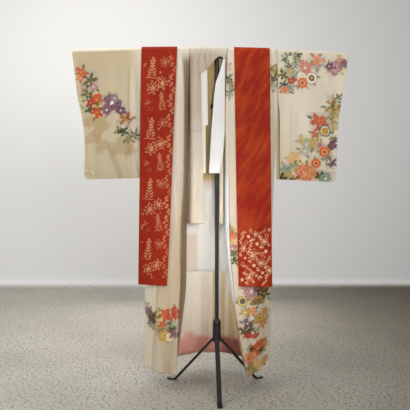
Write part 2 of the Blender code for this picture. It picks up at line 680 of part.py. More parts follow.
def leg_outline():
    """Side view of a leg, as distance from the pole and height: down from the hub, then a flat foot."""
    start = HUB_RADIUS + SEAT
    top, bend = HUB_BOTTOM + 0.020, 0.236
    half = LEG_THICK / 2.0
    slope = math.atan2(top - half, bend - start)
    down = LEG_THICK / math.cos(slope)
    knee = LEG_THICK * math.tan(slope / 2.0)
    return ((start, top), (bend, LEG_THICK), (FOOT_REACH, LEG_THICK), (FOOT_REACH, 0.0),
            (bend - knee, 0.0), (start, top - down))


def build_legs(collection, steel):
    """Three flat bars: one to the front and two to the back."""
    for name, degrees in (("front", -90.0), ("right", 30.0), ("left", 150.0)):
        curve = bpy.data.curves.new("stand_leg_" + name, "CURVE")
        curve.dimensions = "2D"
        curve.fill_mode = "BOTH"
        curve.extrude = LEG_WIDTH / 2.0
        outline = leg_outline()
        line = curve.splines.new("POLY")
        line.points.add(len(outline) - 1)
        for point, (reach, height) in zip(line.points, outline):
            point.co = (reach, height, 0.0, 1.0)
        line.use_cyclic_u = True
        curve.materials.append(steel)
        leg = bpy.data.objects.new("stand_leg_" + name, curve)
        collection.objects.link(leg)
        leg.location = (POLE_X, POLE_Y, 0.0)
        leg.rotation_euler = (math.pi / 2.0, 0.0, math.radians(degrees + TRIPOD_TURN))


def main():
    for old in list(bpy.data.objects):
        bpy.data.objects.remove(old, do_unlink=True)
    collection = bpy.data.collections.new("kimono_on_stand")
    bpy.context.scene.collection.children.link(collection)
    finishes = {
        "silk": material("cream_silk", (0.72, 0.66, 0.54), 0.55),
        "collar_silk": material("collar_silk", (0.76, 0.72, 0.62), 0.55),
        "white_silk": material("white_silk", (0.86, 0.85, 0.83), 0.5),
        "tinted_lining": material("tinted_lining", (0.80, 0.66, 0.50), 0.55),
        "obi": material("obi_brocade", (0.42, 0.035, 0.012), 0.5),
        "steel": material("black_steel", (0.012, 0.012, 0.013), 0.4, 0.6),
    }
    build_cloth(collection, finishes)
    build_crossbar(collection, finishes["steel"])
    build_pole(collection, finishes["steel"])
    build_hub(collection, finishes["steel"])
    build_legs(collection, finishes["steel"])


main()
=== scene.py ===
import math

import bpy
import numpy as np
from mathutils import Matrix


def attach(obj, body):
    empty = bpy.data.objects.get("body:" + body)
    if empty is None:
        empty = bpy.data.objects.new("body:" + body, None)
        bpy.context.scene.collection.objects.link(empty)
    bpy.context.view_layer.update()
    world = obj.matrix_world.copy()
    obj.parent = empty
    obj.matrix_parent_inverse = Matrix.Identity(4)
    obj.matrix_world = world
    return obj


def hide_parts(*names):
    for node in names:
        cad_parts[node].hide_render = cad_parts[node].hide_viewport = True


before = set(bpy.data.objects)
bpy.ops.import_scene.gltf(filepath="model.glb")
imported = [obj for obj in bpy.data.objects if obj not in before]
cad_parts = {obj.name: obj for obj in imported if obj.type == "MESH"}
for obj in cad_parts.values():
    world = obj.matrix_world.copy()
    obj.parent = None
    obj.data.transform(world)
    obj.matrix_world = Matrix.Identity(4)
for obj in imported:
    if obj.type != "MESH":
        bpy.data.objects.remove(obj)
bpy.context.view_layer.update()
print("frame loaded:", len(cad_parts), "solids")

# where the stand and the hanging cloth are, as in the frame
place = {
    "barHeight": 1.616, "barArch": 0.017, "barTilt": 0.007, "halfSpan": 0.651,
    "poleY": 0.0055,
    "bodyDrape": 0.01407, "collarDrape": 0.01408, "obiDrape": 0.0170,
    "hemHeight": 0.072, "backHemHeight": 0.098, "lowestDrop": 1.56,
}
sideSign = {"left": -1.0, "right": 1.0}
silkThickness = 0.0010
thinThickness = 0.0009


# camera, at the eye of the photograph
view = {"x": -0.024, "distance": 2.88, "height": 1.01, "pitch": 2.5, "lens": 52.86, "sensor": 36.0}
cameraData = bpy.data.cameras.new("camera")
cameraData.sensor_width = view["sensor"]
cameraData.lens = view["lens"]
cameraData.clip_end = 60.0
camera = bpy.data.objects.new("camera", cameraData)
bpy.context.scene.collection.objects.link(camera)
camera.location = (view["x"], place["poleY"] - view["distance"], view["height"])
camera.rotation_euler = (math.radians(90.0 - view["pitch"]), 0.0, 0.0)
bpy.context.scene.camera = camera


def easedValues(keys, values, at):
    # smooth curve through keyed values that never overshoots them
    keys = np.asarray(keys, dtype=float)
    values = np.asarray(values, dtype=float)
    at = np.clip(np.asarray(at, dtype=float), keys[0], keys[-1])
    steps = np.diff(keys)
    slopes = np.diff(values) / steps
    product = slopes[:-1] * slopes[1:]
    total = slopes[:-1] + slopes[1:]
    inner = np.where(product > 0.0, 2.0 * product / np.where(total == 0.0, 1.0, total), 0.0)
    tangents = np.concatenate(([slopes[0]], inner, [slopes[-1]]))
    i = np.clip(np.searchsorted(keys, at, side="left") - 1, 0, len(steps) - 1)
    t = (at - keys[i]) / steps[i]
    rise = values[i + 1] - values[i]
    lean = t * (1.0 - t) ** 2 * tangents[i] - t * t * (1.0 - t) * tangents[i + 1]
    return values[i] + rise * t * t * (3.0 - 2.0 * t) + steps[i] * lean


def rowAt(columns, rows, drop):
    keys = [row[0] for row in rows]
    values = {}
    for k, name in enumerate(columns[1:], 1):
        values[name] = float(easedValues(keys, [row[k] for row in rows], drop))
    return values


def smoothStep(low, high, value):
    t = np.clip((value - low) / (high - low), 0.0, 1.0)
    return t * t * (3.0 - 2.0 * t)


def barHeightAt(x):
    share = np.asarray(x) / place["halfSpan"]
    return place["barHeight"] - place["barArch"] * share * share - place["barTilt"] * share


def dropsBetween(zones):
    # rows of a grid: zones are (drop where it starts, step), and the last one ends the list
    drops = []
    for (start, step), (stop, _) in zip(zones, zones[1:]):
        count = max(1, round((stop - start) / step))
        drops += [start + (stop - start) * k / count for k in range(count)]
    return drops + [zones[-1][0]]


def creaseLift(creases, x, drop):
    # soft troughs and ridges: each runs between two points and fades out at both ends
    lift = np.zeros(np.shape(x))
    for x0, drop0, x1, drop1, width, height in creases:
        along = np.array((x1 - x0, drop1 - drop0))
        length = np.hypot(*along)
        along = along / length
        s = (x - x0) * along[0] + (drop - drop0) * along[1]
        t = -(x - x0) * along[1] + (drop - drop0) * along[0]
        fade = smoothStep(0.0, 0.25 * length, s) * smoothStep(0.0, 0.25 * length, length - s)
        lift += height * fade * np.exp(-((t / width) ** 2))
    return lift


def normalsOf(points):
    normal = np.cross(np.gradient(points, axis=1), np.gradient(points, axis=0))
    return normal / np.linalg.norm(normal, axis=2, keepdims=True)


# dyes of the painted flowers, as seen colours
dyes = {
    "orange": (0.82, 0.33, 0.12), "coral": (0.74, 0.28, 0.18), "red": (0.64, 0.12, 0.08),
    "darkRed": (0.28, 0.08, 0.08), "peach": (0.90, 0.62, 0.42), "blush": (0.84, 0.64, 0.60),
    "mauve": (0.56, 0.40, 0.46), "plum": (0.33, 0.17, 0.26), "ash": (0.64, 0.60, 0.60),
    "cream": (0.95, 0.91, 0.80), "lemon": (0.84, 0.76, 0.46), "gold": (0.74, 0.56, 0.22),
    "olive": (0.40, 0.35, 0.15), "leaf": (0.27, 0.30, 0.13), "darkLeaf": (0.12, 0.14, 0.07),
    "palm": (0.56, 0.58, 0.32), "sage": (0.62, 0.66, 0.56), "teal": (0.38, 0.50, 0.46),
    "mist": (0.62, 0.49, 0.28),
}


def dyeColour(name):
    return np.array([c / 12.92 if c <= 0.04045 else ((c + 0.055) / 1.055) ** 2.4 for c in dyes[name]])


# flower shapes round a centre: petals, depth of the notches, sharpness of the tips, rings, strength
roundKinds = {
    "maple": (5, 0.62, 1.1, 1, 0.95), "bloom": (5, 0.30, 0.7, 1, 0.95), "peony": (7, 0.24, 0.7, 3, 0.92),
    "mum": (14, 0.26, 0.8, 3, 0.95), "star": (5, 0.74, 1.5, 1, 0.92), "petals": (4, 0.44, 0.9, 1, 0.60),
    "ring": (12, 0.06, 0.8, 4, 0.95), "iris": (3, 0.58, 1.1, 1, 0.95), "cloud": (3, 0.20, 1.0, 1, 0.45),
    "hexagon": (6, 0.0, 1.0, 3, 0.98),
}


def paintMotif(row, x, drop):
    # cover and tone of one motif: tone 0 is its body, 1 its rim and 2 its heart
    kind, centreX, centreDrop, size, turn = row[:5]
    angle = math.radians(turn)
    u = ((x - centreX) * math.cos(angle) + (drop - centreDrop) * math.sin(angle)) / size
    v = (-(x - centreX) * math.sin(angle) + (drop - centreDrop) * math.cos(angle)) / size
    soft = 0.0016 / size
    # the brush wavers a little, differently for each flower
    waver = 0.05 * np.sin(9.0 * u + 60.0 * centreX) + 0.05 * np.sin(11.0 * v + 50.0 * centreDrop)
    if kind not in ("hexagon", "ring"):
        u, v = u + waver, v - waver
    r = np.hypot(u, v)
    a = np.arctan2(v, u)
    if kind == "leaf":
        blade = np.abs(v) - 0.42 * np.clip(1.0 - u * u, 0.0, 1.0) ** 0.8
        vein = smoothStep(0.10, 0.02, np.abs(v)) * 0.8
        cover = smoothStep(soft, -soft, blade) * (np.abs(u) < 1.0) * 0.85
        return cover, np.maximum(vein, smoothStep(0.0, 1.0, u) * 0.6)
    if kind == "ribbon":
        band = np.abs(v - 0.22 * np.sin(3.0 * u)) - 0.34 * (1.0 - 0.6 * u * u)
        tone = smoothStep(-0.16, -0.06, band)
        return smoothStep(soft, -soft, band) * (np.abs(u) < 1.0) * 0.95, tone
    if kind == "fan":
        inside = smoothStep(-soft, soft, -v - 0.02) * smoothStep(1.0 + soft, 1.0 - soft, r)
        ribs = smoothStep(0.82, 0.95, np.abs(np.cos(6.0 * a)))
        rim = smoothStep(0.80, 0.86, r)
        return inside * 0.9, np.maximum(ribs * 0.7, rim)
    if kind == "cluster":
        cover = np.zeros(np.shape(x))
        tone = np.zeros(np.shape(x))
        for k in range(13):
            turnK = 2.4 * k + centreX * 90.0
            reach = 0.88 * math.sqrt(k / 12.0)
            gap = np.hypot(u - reach * math.cos(turnK), v - reach * math.sin(turnK))
            leaf = 0.28 * (1.0 + 0.25 * np.cos(2.0 * (a - turnK)))
            dot = smoothStep(leaf + soft, leaf - soft, gap)
            cover = np.maximum(cover, dot)
            tone = np.where(dot > 0.3, 0.45 * (k % 4) + 0.9 * gap / 0.28, tone)
            tone = np.where((dot > 0.3) & (gap < 0.08), 2.0, tone)
        return cover * 0.85, tone
    petals, notch, sharp, rings, strength = roundKinds[kind]
    petalTurn = petals * a / 2.0
    if kind == "hexagon":
        outline = math.cos(math.pi / 6.0) / np.cos((a % (math.pi / 3.0)) - math.pi / 6.0)
    else:
        # each petal is a little longer or shorter than the next
        uneven = 0.10 * np.sin(2.0 * a + 40.0 * centreX) + 0.06 * np.sin(3.0 * a + 30.0 * centreDrop)
        outline = 1.0 - notch * (1.0 - np.abs(np.cos(petalTurn)) ** sharp) + uneven * (kind != "ring")
    reach = r / outline
    if kind == "cloud":
        wobble = 1.0 + 0.18 * np.sin(3.0 * a + centreX * 40.0) + 0.10 * np.sin(7.0 * a)
        return smoothStep(1.15, 0.55, reach * wobble) * strength, np.zeros(np.shape(x))
    cover = smoothStep(1.0 + soft, 1.0 - soft, reach) * strength
    tone = smoothStep(0.35, 1.05, reach) * 0.9
    if kind == "hexagon":
        tone = np.where(reach > 0.80, 1.0, np.where(reach > 0.66, 2.0, 0.0))
    elif kind == "ring":
        tone = np.where(reach > 0.84, 0.6, 0.0)
        tone = np.where((reach < 0.52) & (reach > 0.30), 1.0, tone)
        tone = np.where(reach <= 0.30, 2.0, tone)
    elif kind in ("star", "maple"):
        tone = np.maximum(tone, smoothStep(0.30, 0.12, r) * 2.0)
        tone = np.maximum(tone, smoothStep(0.22, 0.06, np.abs(np.sin(petalTurn))) * (reach > 0.25) * 0.8)
    else:
        ringShare = (reach * rings) % 1.0
        lobe = np.abs(np.cos(petalTurn + np.floor(reach * rings) * 1.3))
        # petals darken towards their foot, and a pale line parts them
        foot = smoothStep(0.0, 0.9, ringShare) * 0.85
        tone = np.maximum(foot, smoothStep(0.30, 0.12, lobe) * (reach > 0.2))
        tone = np.maximum(tone, smoothStep(0.28, 0.16, reach) * 2.0)
    return cover, tone


def leavesUnder(motifs):
    # small leaves and a soft wash round each flower, so that the sprays hang together
    chance = np.random.default_rng(3)
    washes, leaves = [], []
    for kind, x, drop, size, turn, *_ in motifs:
        if kind in ("cloud", "fan", "ribbon") or size < 0.008:
            continue
        washAndShade = ("sage", "lemon", "ash", "blush")[len(washes) % 4]
        washes.append(("cloud", x, drop, size * 1.35, turn, washAndShade, "cream", "cream"))
        for k in range(3):
            around = 360.0 * (k + chance.random()) / 3.0
            away = size * (0.95 + 0.25 * chance.random())
            leafX = x + away * math.cos(math.radians(around))
            leafDrop = drop + away * math.sin(math.radians(around))
            dyeAndShade = ("leaf", "darkLeaf", "palm", "olive", "sage", "teal")[int(chance.integers(6))]
            leaves.append(("leaf", leafX, leafDrop, 0.0065 + 0.22 * size, around, dyeAndShade, "palm", "darkLeaf"))
    return washes + leaves + list(motifs)


def paintMotifs(motifs, x, drop):
    # colours and cover of all motifs on a panel, at its points seen from in front
    colour = np.zeros(np.shape(x) + (4,))
    for row in leavesUnder(motifs):
        near = np.hypot(x - row[1], drop - row[2]) < row[3] * 1.3
        if not near.any():
            continue
        cover, tone = paintMotif(row, x[near], drop[near])
        body, rim, heart = (dyeColour(name) for name in row[5:8])
        toRim = np.clip(tone, 0.0, 1.0)[:, None]
        toHeart = np.clip(tone - 1.0, 0.0, 1.0)[:, None]
        paint = body + (rim - body) * toRim
        paint = paint + (heart - paint) * toHeart
        old = colour[near]
        kept = old[:, 3] * (1.0 - cover)
        total = np.maximum(kept + cover, 1e-6)
        mixed = (old[:, :3] * kept[:, None] + paint * cover[:, None]) / total[:, None]
        colour[near] = np.concatenate((mixed, (kept + cover)[:, None]), axis=1)
    return colour


def layDyeAndShade(dyeAndShade, colour, cover):
    # one more layer over the colours of a panel, used both for dyes and for painted shade
    cover = np.asarray(cover)[:, :, None]
    old = dyeAndShade[:, :, 3:] * (1.0 - cover)
    total = old + cover
    dyeAndShade[:, :, :3] = (dyeAndShade[:, :, :3] * old + np.array(colour) * cover) / np.maximum(total, 1e-6)
    dyeAndShade[:, :, 3:] = total


def foldShades(dyeAndShade, x, drop, lines, colour):
    # soft shade beside a fold line: x and drop at both ends, reach to its right, strength
    for startX, startDrop, stopX, stopDrop, reach, strength in lines:
        along = np.clip((drop - startDrop) / (stopDrop - startDrop), 0.0, 1.0)
        away = (x - startX - (stopX - startX) * along) * np.sign(reach)
        ends = smoothStep(startDrop - 0.03, startDrop + 0.06, drop)
        ends = ends * smoothStep(stopDrop + 0.03, stopDrop - 0.02, drop)
        shade = np.exp(-np.maximum(away, 0.0) / abs(reach)) * smoothStep(-0.0016, 0.0004, away)
        layDyeAndShade(dyeAndShade, colour, strength * shade * ends)


def clothPiece(name, points, finishes, thickness=silkThickness, dyeAndShade=None, isCloth=None):
    # a sheet through a grid of points, with its UV map in metres and its dyes and painted shade, made a thin wall
    points = np.array(points, dtype=float)
    points[:, :, 1] += place["poleY"]
    rows, columns = points.shape[:2]
    corner = np.arange(rows * columns).reshape(rows, columns)
    quads = np.stack((corner[:-1, :-1], corner[:-1, 1:], corner[1:, 1:], corner[1:, :-1]), axis=-1)
    keep = np.ones((rows - 1, columns - 1), dtype=bool) if isCloth is None else isCloth
    quads = quads[keep]
    across = np.zeros((rows, columns))
    across[:, 1:] = np.cumsum(np.linalg.norm(np.diff(points, axis=1), axis=2), axis=1)
    down = np.zeros((rows, columns))
    down[1:] = np.cumsum(np.linalg.norm(np.diff(points, axis=0), axis=2), axis=0)
    middles = points.reshape(-1, 3)[quads].mean(axis=1)
    sideways = points.reshape(-1, 3)[quads[:, 1]] - points.reshape(-1, 3)[quads[:, 0]]
    downwards = points.reshape(-1, 3)[quads[:, 3]] - points.reshape(-1, 3)[quads[:, 0]]
    facing = np.cross(sideways, downwards)[middles[:, 1] < place["poleY"], 1]
    if len(facing) and facing.sum() > 0.0:
        quads = quads[:, ::-1]
    used = np.unique(quads)
    renumber = np.full(rows * columns, -1)
    renumber[used] = np.arange(len(used))
    mesh = bpy.data.meshes.new(name)
    mesh.from_pydata(points.reshape(-1, 3)[used].tolist(), [], renumber[quads].tolist())
    uv = mesh.uv_layers.new(name="cloth")
    loops = np.empty(len(mesh.loops), dtype=np.int64)
    mesh.loops.foreach_get("vertex_index", loops)
    flat = np.stack((across.reshape(-1)[used], down.reshape(-1)[used]), axis=-1)
    uv.data.foreach_set("uv", flat[loops].reshape(-1))
    paint = mesh.color_attributes.new("dyeAndShade", "FLOAT_COLOR", "POINT")
    dyeAndShade = np.zeros((rows, columns, 4)) if dyeAndShade is None else dyeAndShade
    paint.data.foreach_set("color", dyeAndShade.reshape(-1, 4)[used].reshape(-1))
    for finish in finishes:
        mesh.materials.append(finish)
    mesh.shade_smooth()
    piece = bpy.data.objects.new(name + "_cloth", mesh)
    bpy.context.scene.collection.objects.link(piece)
    wall = piece.modifiers.new("wall", "SOLIDIFY")
    wall.thickness = thickness
    wall.offset = 0.0
    wall.use_even_offset = True
    wall.material_offset = len(finishes) - 1
    wall.material_offset_rim = 0
    return piece


# materials
def startMaterial(name):
    made = bpy.data.materials.new(name)
    made.use_nodes = True
    return made, made.node_tree.nodes, made.node_tree.links, made.node_tree.nodes["Principled BSDF"]


def mixColours(nodes, links, share, first, second, blend="MIX"):
    mix = nodes.new("ShaderNodeMix")
    mix.data_type = "RGBA"
    mix.blend_type = blend
    for socket, value in ((mix.inputs["Factor"], share), (mix.inputs["A"], first), (mix.inputs["B"], second)):
        if isinstance(value, bpy.types.NodeSocket):
            links.new(value, socket)
        elif isinstance(value, (int, float)):
            socket.default_value = value
        else:
            socket.default_value = (*value, 1.0)
    return mix.outputs["Result"]


def noiseNode(nodes, links, vector, scale, detail=2.0, stretch=(1.0, 1.0, 1.0), turn=0.0):
    mapping = nodes.new("ShaderNodeMapping")
    mapping.vector_type = "TEXTURE"
    mapping.inputs["Scale"].default_value = tuple(1.0 / s for s in stretch)
    mapping.inputs["Rotation"].default_value = (0.0, 0.0, turn)
    noise = nodes.new("ShaderNodeTexNoise")
    noise.inputs["Scale"].default_value = scale
    noise.inputs["Detail"].default_value = detail
    links.new(vector, mapping.inputs["Vector"])
    links.new(mapping.outputs["Vector"], noise.inputs["Vector"])
    return noise.outputs["Fac"]


def rampNode(nodes, links, value, low, high):
    ramp = nodes.new("ShaderNodeMapRange")
    ramp.interpolation_type = "SMOOTHSTEP"
    ramp.inputs["From Min"].default_value = low
    ramp.inputs["From Max"].default_value = high
    links.new(value, ramp.inputs["Value"])
    return ramp.outputs["Result"]


def threadBump(nodes, links, uv, thread, depth, crepe):
    # warp and weft threads, with a fine crepe over them
    waves = []
    for direction in ("X", "Y"):
        wave = nodes.new("ShaderNodeTexWave")
        wave.bands_direction = direction
        wave.inputs["Scale"].default_value = math.pi / (10.0 * thread)
        wave.inputs["Distortion"].default_value = 0.0
        links.new(uv, wave.inputs["Vector"])
        waves.append(wave.outputs["Fac"])
    weave = nodes.new("ShaderNodeMath")
    weave.operation = "MULTIPLY"
    links.new(waves[0], weave.inputs[0])
    links.new(waves[1], weave.inputs[1])
    grain = noiseNode(nodes, links, uv, crepe, 3.0)
    both = nodes.new("ShaderNodeMath")
    both.operation = "ADD"
    links.new(weave.outputs["Value"], both.inputs[0])
    links.new(grain, both.inputs[1])
    bump = nodes.new("ShaderNodeBump")
    bump.inputs["Strength"].default_value = 0.35
    bump.inputs["Distance"].default_value = depth
    links.new(both.outputs["Value"], bump.inputs["Height"])
    return bump.outputs["Normal"]


def silkMaterial(name, colour, shade, roughness, sheen):
    # plain silk, a little uneven in tone, with the dyes and painted shade of its panel over it
    made, nodes, links, shader = startMaterial(name)
    coordinates = nodes.new("ShaderNodeTexCoord")
    mottle = noiseNode(nodes, links, coordinates.outputs["Object"], 7.0, 3.0, (1.0, 1.0, 0.35))
    slub = noiseNode(nodes, links, coordinates.outputs["UV"], 60.0, 2.0, (6.0, 0.25, 1.0))
    base = mixColours(nodes, links, rampNode(nodes, links, mottle, 0.30, 0.75), colour, shade)
    base = mixColours(nodes, links, rampNode(nodes, links, slub, 0.45, 0.85), base, shade)
    dyeAndShade = nodes.new("ShaderNodeAttribute")
    dyeAndShade.attribute_name = "dyeAndShade"
    base = mixColours(nodes, links, dyeAndShade.outputs["Alpha"], base, dyeAndShade.outputs["Color"])
    links.new(base, shader.inputs["Base Color"])
    shine = nodes.new("ShaderNodeMapRange")
    shine.inputs["To Min"].default_value = roughness - 0.06
    shine.inputs["To Max"].default_value = roughness + 0.08
    links.new(mottle, shine.inputs["Value"])
    links.new(shine.outputs["Result"], shader.inputs["Roughness"])
    bump = threadBump(nodes, links, coordinates.outputs["UV"], thread=0.0006, depth=0.00012, crepe=700.0)
    links.new(bump, shader.inputs["Normal"])
    shader.inputs["Sheen Weight"].default_value = sheen
    shader.inputs["Sheen Roughness"].default_value = 0.35
    shader.inputs["Specular IOR Level"].default_value = 0.25
    shader.inputs["Subsurface Weight"].default_value = 0.35
    shader.inputs["Subsurface Radius"].default_value = (1.0, 1.0, 1.0)
    shader.inputs["Subsurface Scale"].default_value = 0.006
    return made


def brocadeMaterial(name, ground, sheenColour, sheenTurn, sheenAmount):
    # red silk with soft orange streaks of painted sheen, and gold thread where the colour attribute says so
    made, nodes, links, shader = startMaterial(name)
    coordinates = nodes.new("ShaderNodeTexCoord")
    sheenStreaks = noiseNode(nodes, links, coordinates.outputs["UV"], 12.0, 2.0, (3.2, 0.7, 1.0), sheenTurn)
    thread = noiseNode(nodes, links, coordinates.outputs["UV"], 90.0, 2.0, (0.2, 6.0, 1.0))
    deep = tuple(c * 0.72 for c in ground)
    base = mixColours(nodes, links, rampNode(nodes, links, thread, 0.35, 0.8), ground, deep)
    share = nodes.new("ShaderNodeMath")
    share.operation = "MULTIPLY"
    share.inputs[1].default_value = sheenAmount
    links.new(rampNode(nodes, links, sheenStreaks, 0.35, 0.75), share.inputs[0])
    base = mixColours(nodes, links, share.outputs["Value"], base, sheenColour)
    gold = nodes.new("ShaderNodeAttribute")
    gold.attribute_name = "dyeAndShade"
    base = mixColours(nodes, links, gold.outputs["Alpha"], base, gold.outputs["Color"])
    links.new(base, shader.inputs["Base Color"])
    shine = nodes.new("ShaderNodeMapRange")
    shine.inputs["To Min"].default_value = 0.60
    shine.inputs["To Max"].default_value = 0.38
    links.new(gold.outputs["Alpha"], shine.inputs["Value"])
    links.new(shine.outputs["Result"], shader.inputs["Roughness"])
    bump = threadBump(nodes, links, coordinates.outputs["UV"], thread=0.0009, depth=0.00018, crepe=520.0)
    links.new(bump, shader.inputs["Normal"])
    shader.inputs["Specular IOR Level"].default_value = 0.10
    return made


finishes = {
    "silk": silkMaterial("cream_silk", (0.78, 0.70, 0.56), (0.71, 0.61, 0.45), 0.50, 0.06),
    "collar": silkMaterial("collar_silk", (0.70, 0.63, 0.51), (0.62, 0.55, 0.43), 0.55, 0.06),
    "white": silkMaterial("white_silk", (0.90, 0.89, 0.89), (0.86, 0.84, 0.83), 0.50, 0.06),
    "lining": silkMaterial("tinted_lining", (0.93, 0.86, 0.72), (0.90, 0.79, 0.62), 0.50, 0.06),
    "obiLeft": brocadeMaterial("obi_brocade", (0.30, 0.018, 0.006), (0.38, 0.036, 0.008), 0.5, 0.4),
    "obiRight": brocadeMaterial("obi_brocade_plain", (0.31, 0.016, 0.005), (0.46, 0.058, 0.008), 0.55, 0.8),
}
print("materials made")


# fronts: side seam, face, lip of the fold and free edge at each drop, for each side
bodyFront = {
    "columns": ("drop", "sideOut", "faceOut", "faceY", "lipOut", "lipY", "edgeOut", "edgeY"),
    "left": (
        (0.00, 0.3150, 0.240, -0.0141, 0.1450, -0.0141, 0.0960, -0.0141),
        (0.08, 0.3150, 0.240, -0.0200, 0.1300, -0.0260, 0.0990, -0.0100),
        (0.30, 0.3155, 0.240, -0.0300, 0.1250, -0.0380, 0.1040, -0.0040),
        (0.60, 0.3160, 0.240, -0.0360, 0.1280, -0.0440, 0.1060, -0.0020),
        (0.84, 0.3180, 0.240, -0.0400, 0.1420, -0.0480, 0.1120, 0.0060),
        (1.12, 0.3200, 0.244, -0.0360, 0.1460, -0.0490, 0.1165, 0.0500),
        (1.30, 0.3220, 0.246, -0.0300, 0.1530, -0.0500, 0.1360, 0.0720),
        (1.56, 0.3250, 0.247, 0.0000, 0.1590, -0.0520, 0.1680, 0.0860),
    ),
    "right": (
        (0.00, 0.3150, 0.200, -0.0141, 0.1000, -0.0141, 0.0830, -0.0141),
        (0.08, 0.3180, 0.200, -0.0200, 0.0850, -0.0240, 0.0760, -0.0100),
        (0.30, 0.3200, 0.190, -0.0280, 0.0760, -0.0340, 0.0705, -0.0020),
        (0.60, 0.3060, 0.185, -0.0340, 0.0755, -0.0400, 0.0700, 0.0000),
        (0.84, 0.3000, 0.185, -0.0380, 0.0770, -0.0460, 0.0710, 0.0060),
        (1.12, 0.2970, 0.195, -0.0380, 0.1060, -0.0520, 0.0980, 0.0400),
        (1.30, 0.2990, 0.205, -0.0350, 0.1350, -0.0580, 0.1250, 0.0700),
        (1.56, 0.3000, 0.235, 0.0200, 0.1830, -0.0650, 0.1700, 0.1150),
    ),
    # broad folds: where each runs, width, height and the drop where it starts
    "folds": {
        "left": ((-0.262, -0.296, 0.016, -0.016, 1.00), (-0.235, -0.205, 0.014, -0.010, 1.15),
                 (-0.170, -0.250, 0.020, 0.008, 0.90)),
        "right": ((0.265, 0.270, 0.018, -0.012, 1.00), (0.150, 0.215, 0.016, -0.008, 1.05)),
    },
    # creases: x and drop at both ends, width, height towards the viewer
    "creases": {
        "left": ((-0.240, 1.02, -0.288, 1.56, 0.0060, -0.0120), (-0.258, 1.04, -0.304, 1.56, 0.0110, 0.0080),
                 (-0.181, 1.30, -0.222, 1.60, 0.0060, -0.0080), (-0.166, 1.34, -0.196, 1.60, 0.0070, 0.0060),
                 (-0.205, 1.05, -0.200, 1.50, 0.0100, 0.0045), (-0.228, 1.18, -0.250, 1.52, 0.0090, 0.0050),
                 (-0.125, 0.04, -0.131, 0.55, 0.0060, 0.0020), (-0.112, 0.50, -0.128, 1.05, 0.0060, 0.0020),
                 (-0.138, 0.30, -0.150, 1.30, 0.0080, 0.0040), (-0.158, 0.42, -0.166, 1.34, 0.0050, -0.0035)),
        "right": ((0.262, 1.06, 0.258, 1.52, 0.0080, -0.0040), (0.212, 1.12, 0.226, 1.55, 0.0070, 0.0035),
                  (0.186, 1.10, 0.204, 1.50, 0.0070, -0.0030), (0.306, 0.02, 0.300, 0.30, 0.0050, -0.0020),
                  (0.089, 0.04, 0.084, 0.40, 0.0060, 0.0020), (0.160, 1.00, 0.172, 1.40, 0.0080, 0.0030)),
    },
    "kenSaki": 0.26, "overlapDrops": (0.0, 0.26, 0.38, 0.50, 0.62, 1.6),
    "overlapPlaces": (3.0, 2.92, 2.66, 2.26, 1.86, 1.86),
    "seamGap": 0.0005, "columnsAcross": 72,
}
sideSeam = {
    "columns": ("drop", "y", "halfGap"),
    "rows": (
        (0.00, 0.000, 0.0141), (0.08, 0.000, 0.0141), (0.26, 0.000, 0.0110), (0.42, 0.002, 0.0016),
        (0.60, 0.006, 0.0016), (0.84, 0.026, 0.0016), (1.12, 0.060, 0.0016), (1.30, 0.083, 0.0016),
        (1.56, 0.114, 0.0016),
    ),
}
bodyBack = {
    "columns": ("drop", "foldOut", "foldY", "troughOut", "troughY", "centreOut", "centreY"),
    "left": (
        (0.000, 0.220, 0.0141, 0.150, 0.0141, 0.0960, 0.0141),
        (0.006, 0.200, 0.0141, 0.080, 0.0141, 0.0003, 0.0141),
        (0.300, 0.175, 0.0200, 0.060, 0.0300, 0.0003, 0.0240),
        (0.600, 0.150, 0.0320, 0.055, 0.0500, 0.0003, 0.0450),
        (0.840, 0.140, 0.0550, 0.050, 0.0850, 0.0003, 0.0750),
        (1.120, 0.130, 0.1050, 0.045, 0.1450, 0.0003, 0.1280),
        (1.300, 0.130, 0.1500, 0.045, 0.2000, 0.0003, 0.1800),
        (1.560, 0.130, 0.2150, 0.045, 0.2760, 0.0003, 0.2600),
    ),
    "right": (
        (0.000, 0.210, 0.0141, 0.140, 0.0141, 0.0830, 0.0141),
        (0.006, 0.200, 0.0141, 0.080, 0.0141, 0.0003, 0.0141),
        (0.300, 0.090, 0.0210, 0.045, 0.0280, 0.0003, 0.0240),
        (0.600, 0.076, 0.0290, 0.040, 0.0460, 0.0003, 0.0450),
        (0.840, 0.074, 0.0400, 0.038, 0.0780, 0.0003, 0.0750),
        (1.120, 0.098, 0.0800, 0.045, 0.1380, 0.0003, 0.1280),
        (1.300, 0.125, 0.1320, 0.052, 0.1950, 0.0003, 0.1800),
        (1.560, 0.150, 0.2120, 0.055, 0.2680, 0.0003, 0.2600),
    ),
    # creases of the back, height away from the body
    "creases": {
        "left": ((-0.245, 0.98, -0.262, 1.54, 0.014, 0.007), (-0.190, 1.05, -0.176, 1.52, 0.016, -0.006),
                 (-0.085, 0.96, -0.092, 1.54, 0.012, 0.006), (-0.290, 0.60, -0.296, 1.35, 0.010, 0.003),
                 (-0.030, 1.02, -0.026, 1.53, 0.009, -0.004), (-0.215, 0.10, -0.205, 0.62, 0.012, 0.0015)),
        "right": ((0.250, 1.00, 0.238, 1.55, 0.013, 0.006), (0.195, 0.97, 0.206, 1.53, 0.014, -0.006),
                  (0.105, 1.06, 0.098, 1.54, 0.010, 0.005), (0.070, 0.98, 0.064, 1.52, 0.011, -0.004),
                  (0.280, 0.66, 0.286, 1.30, 0.010, 0.003), (0.235, 0.08, 0.225, 0.55, 0.012, 0.0015)),
    },
}


def throughPlan(planX, planY, places):
    keys = list(range(len(planX)))
    return easedValues(keys, planX, places), easedValues(keys, planY, places)


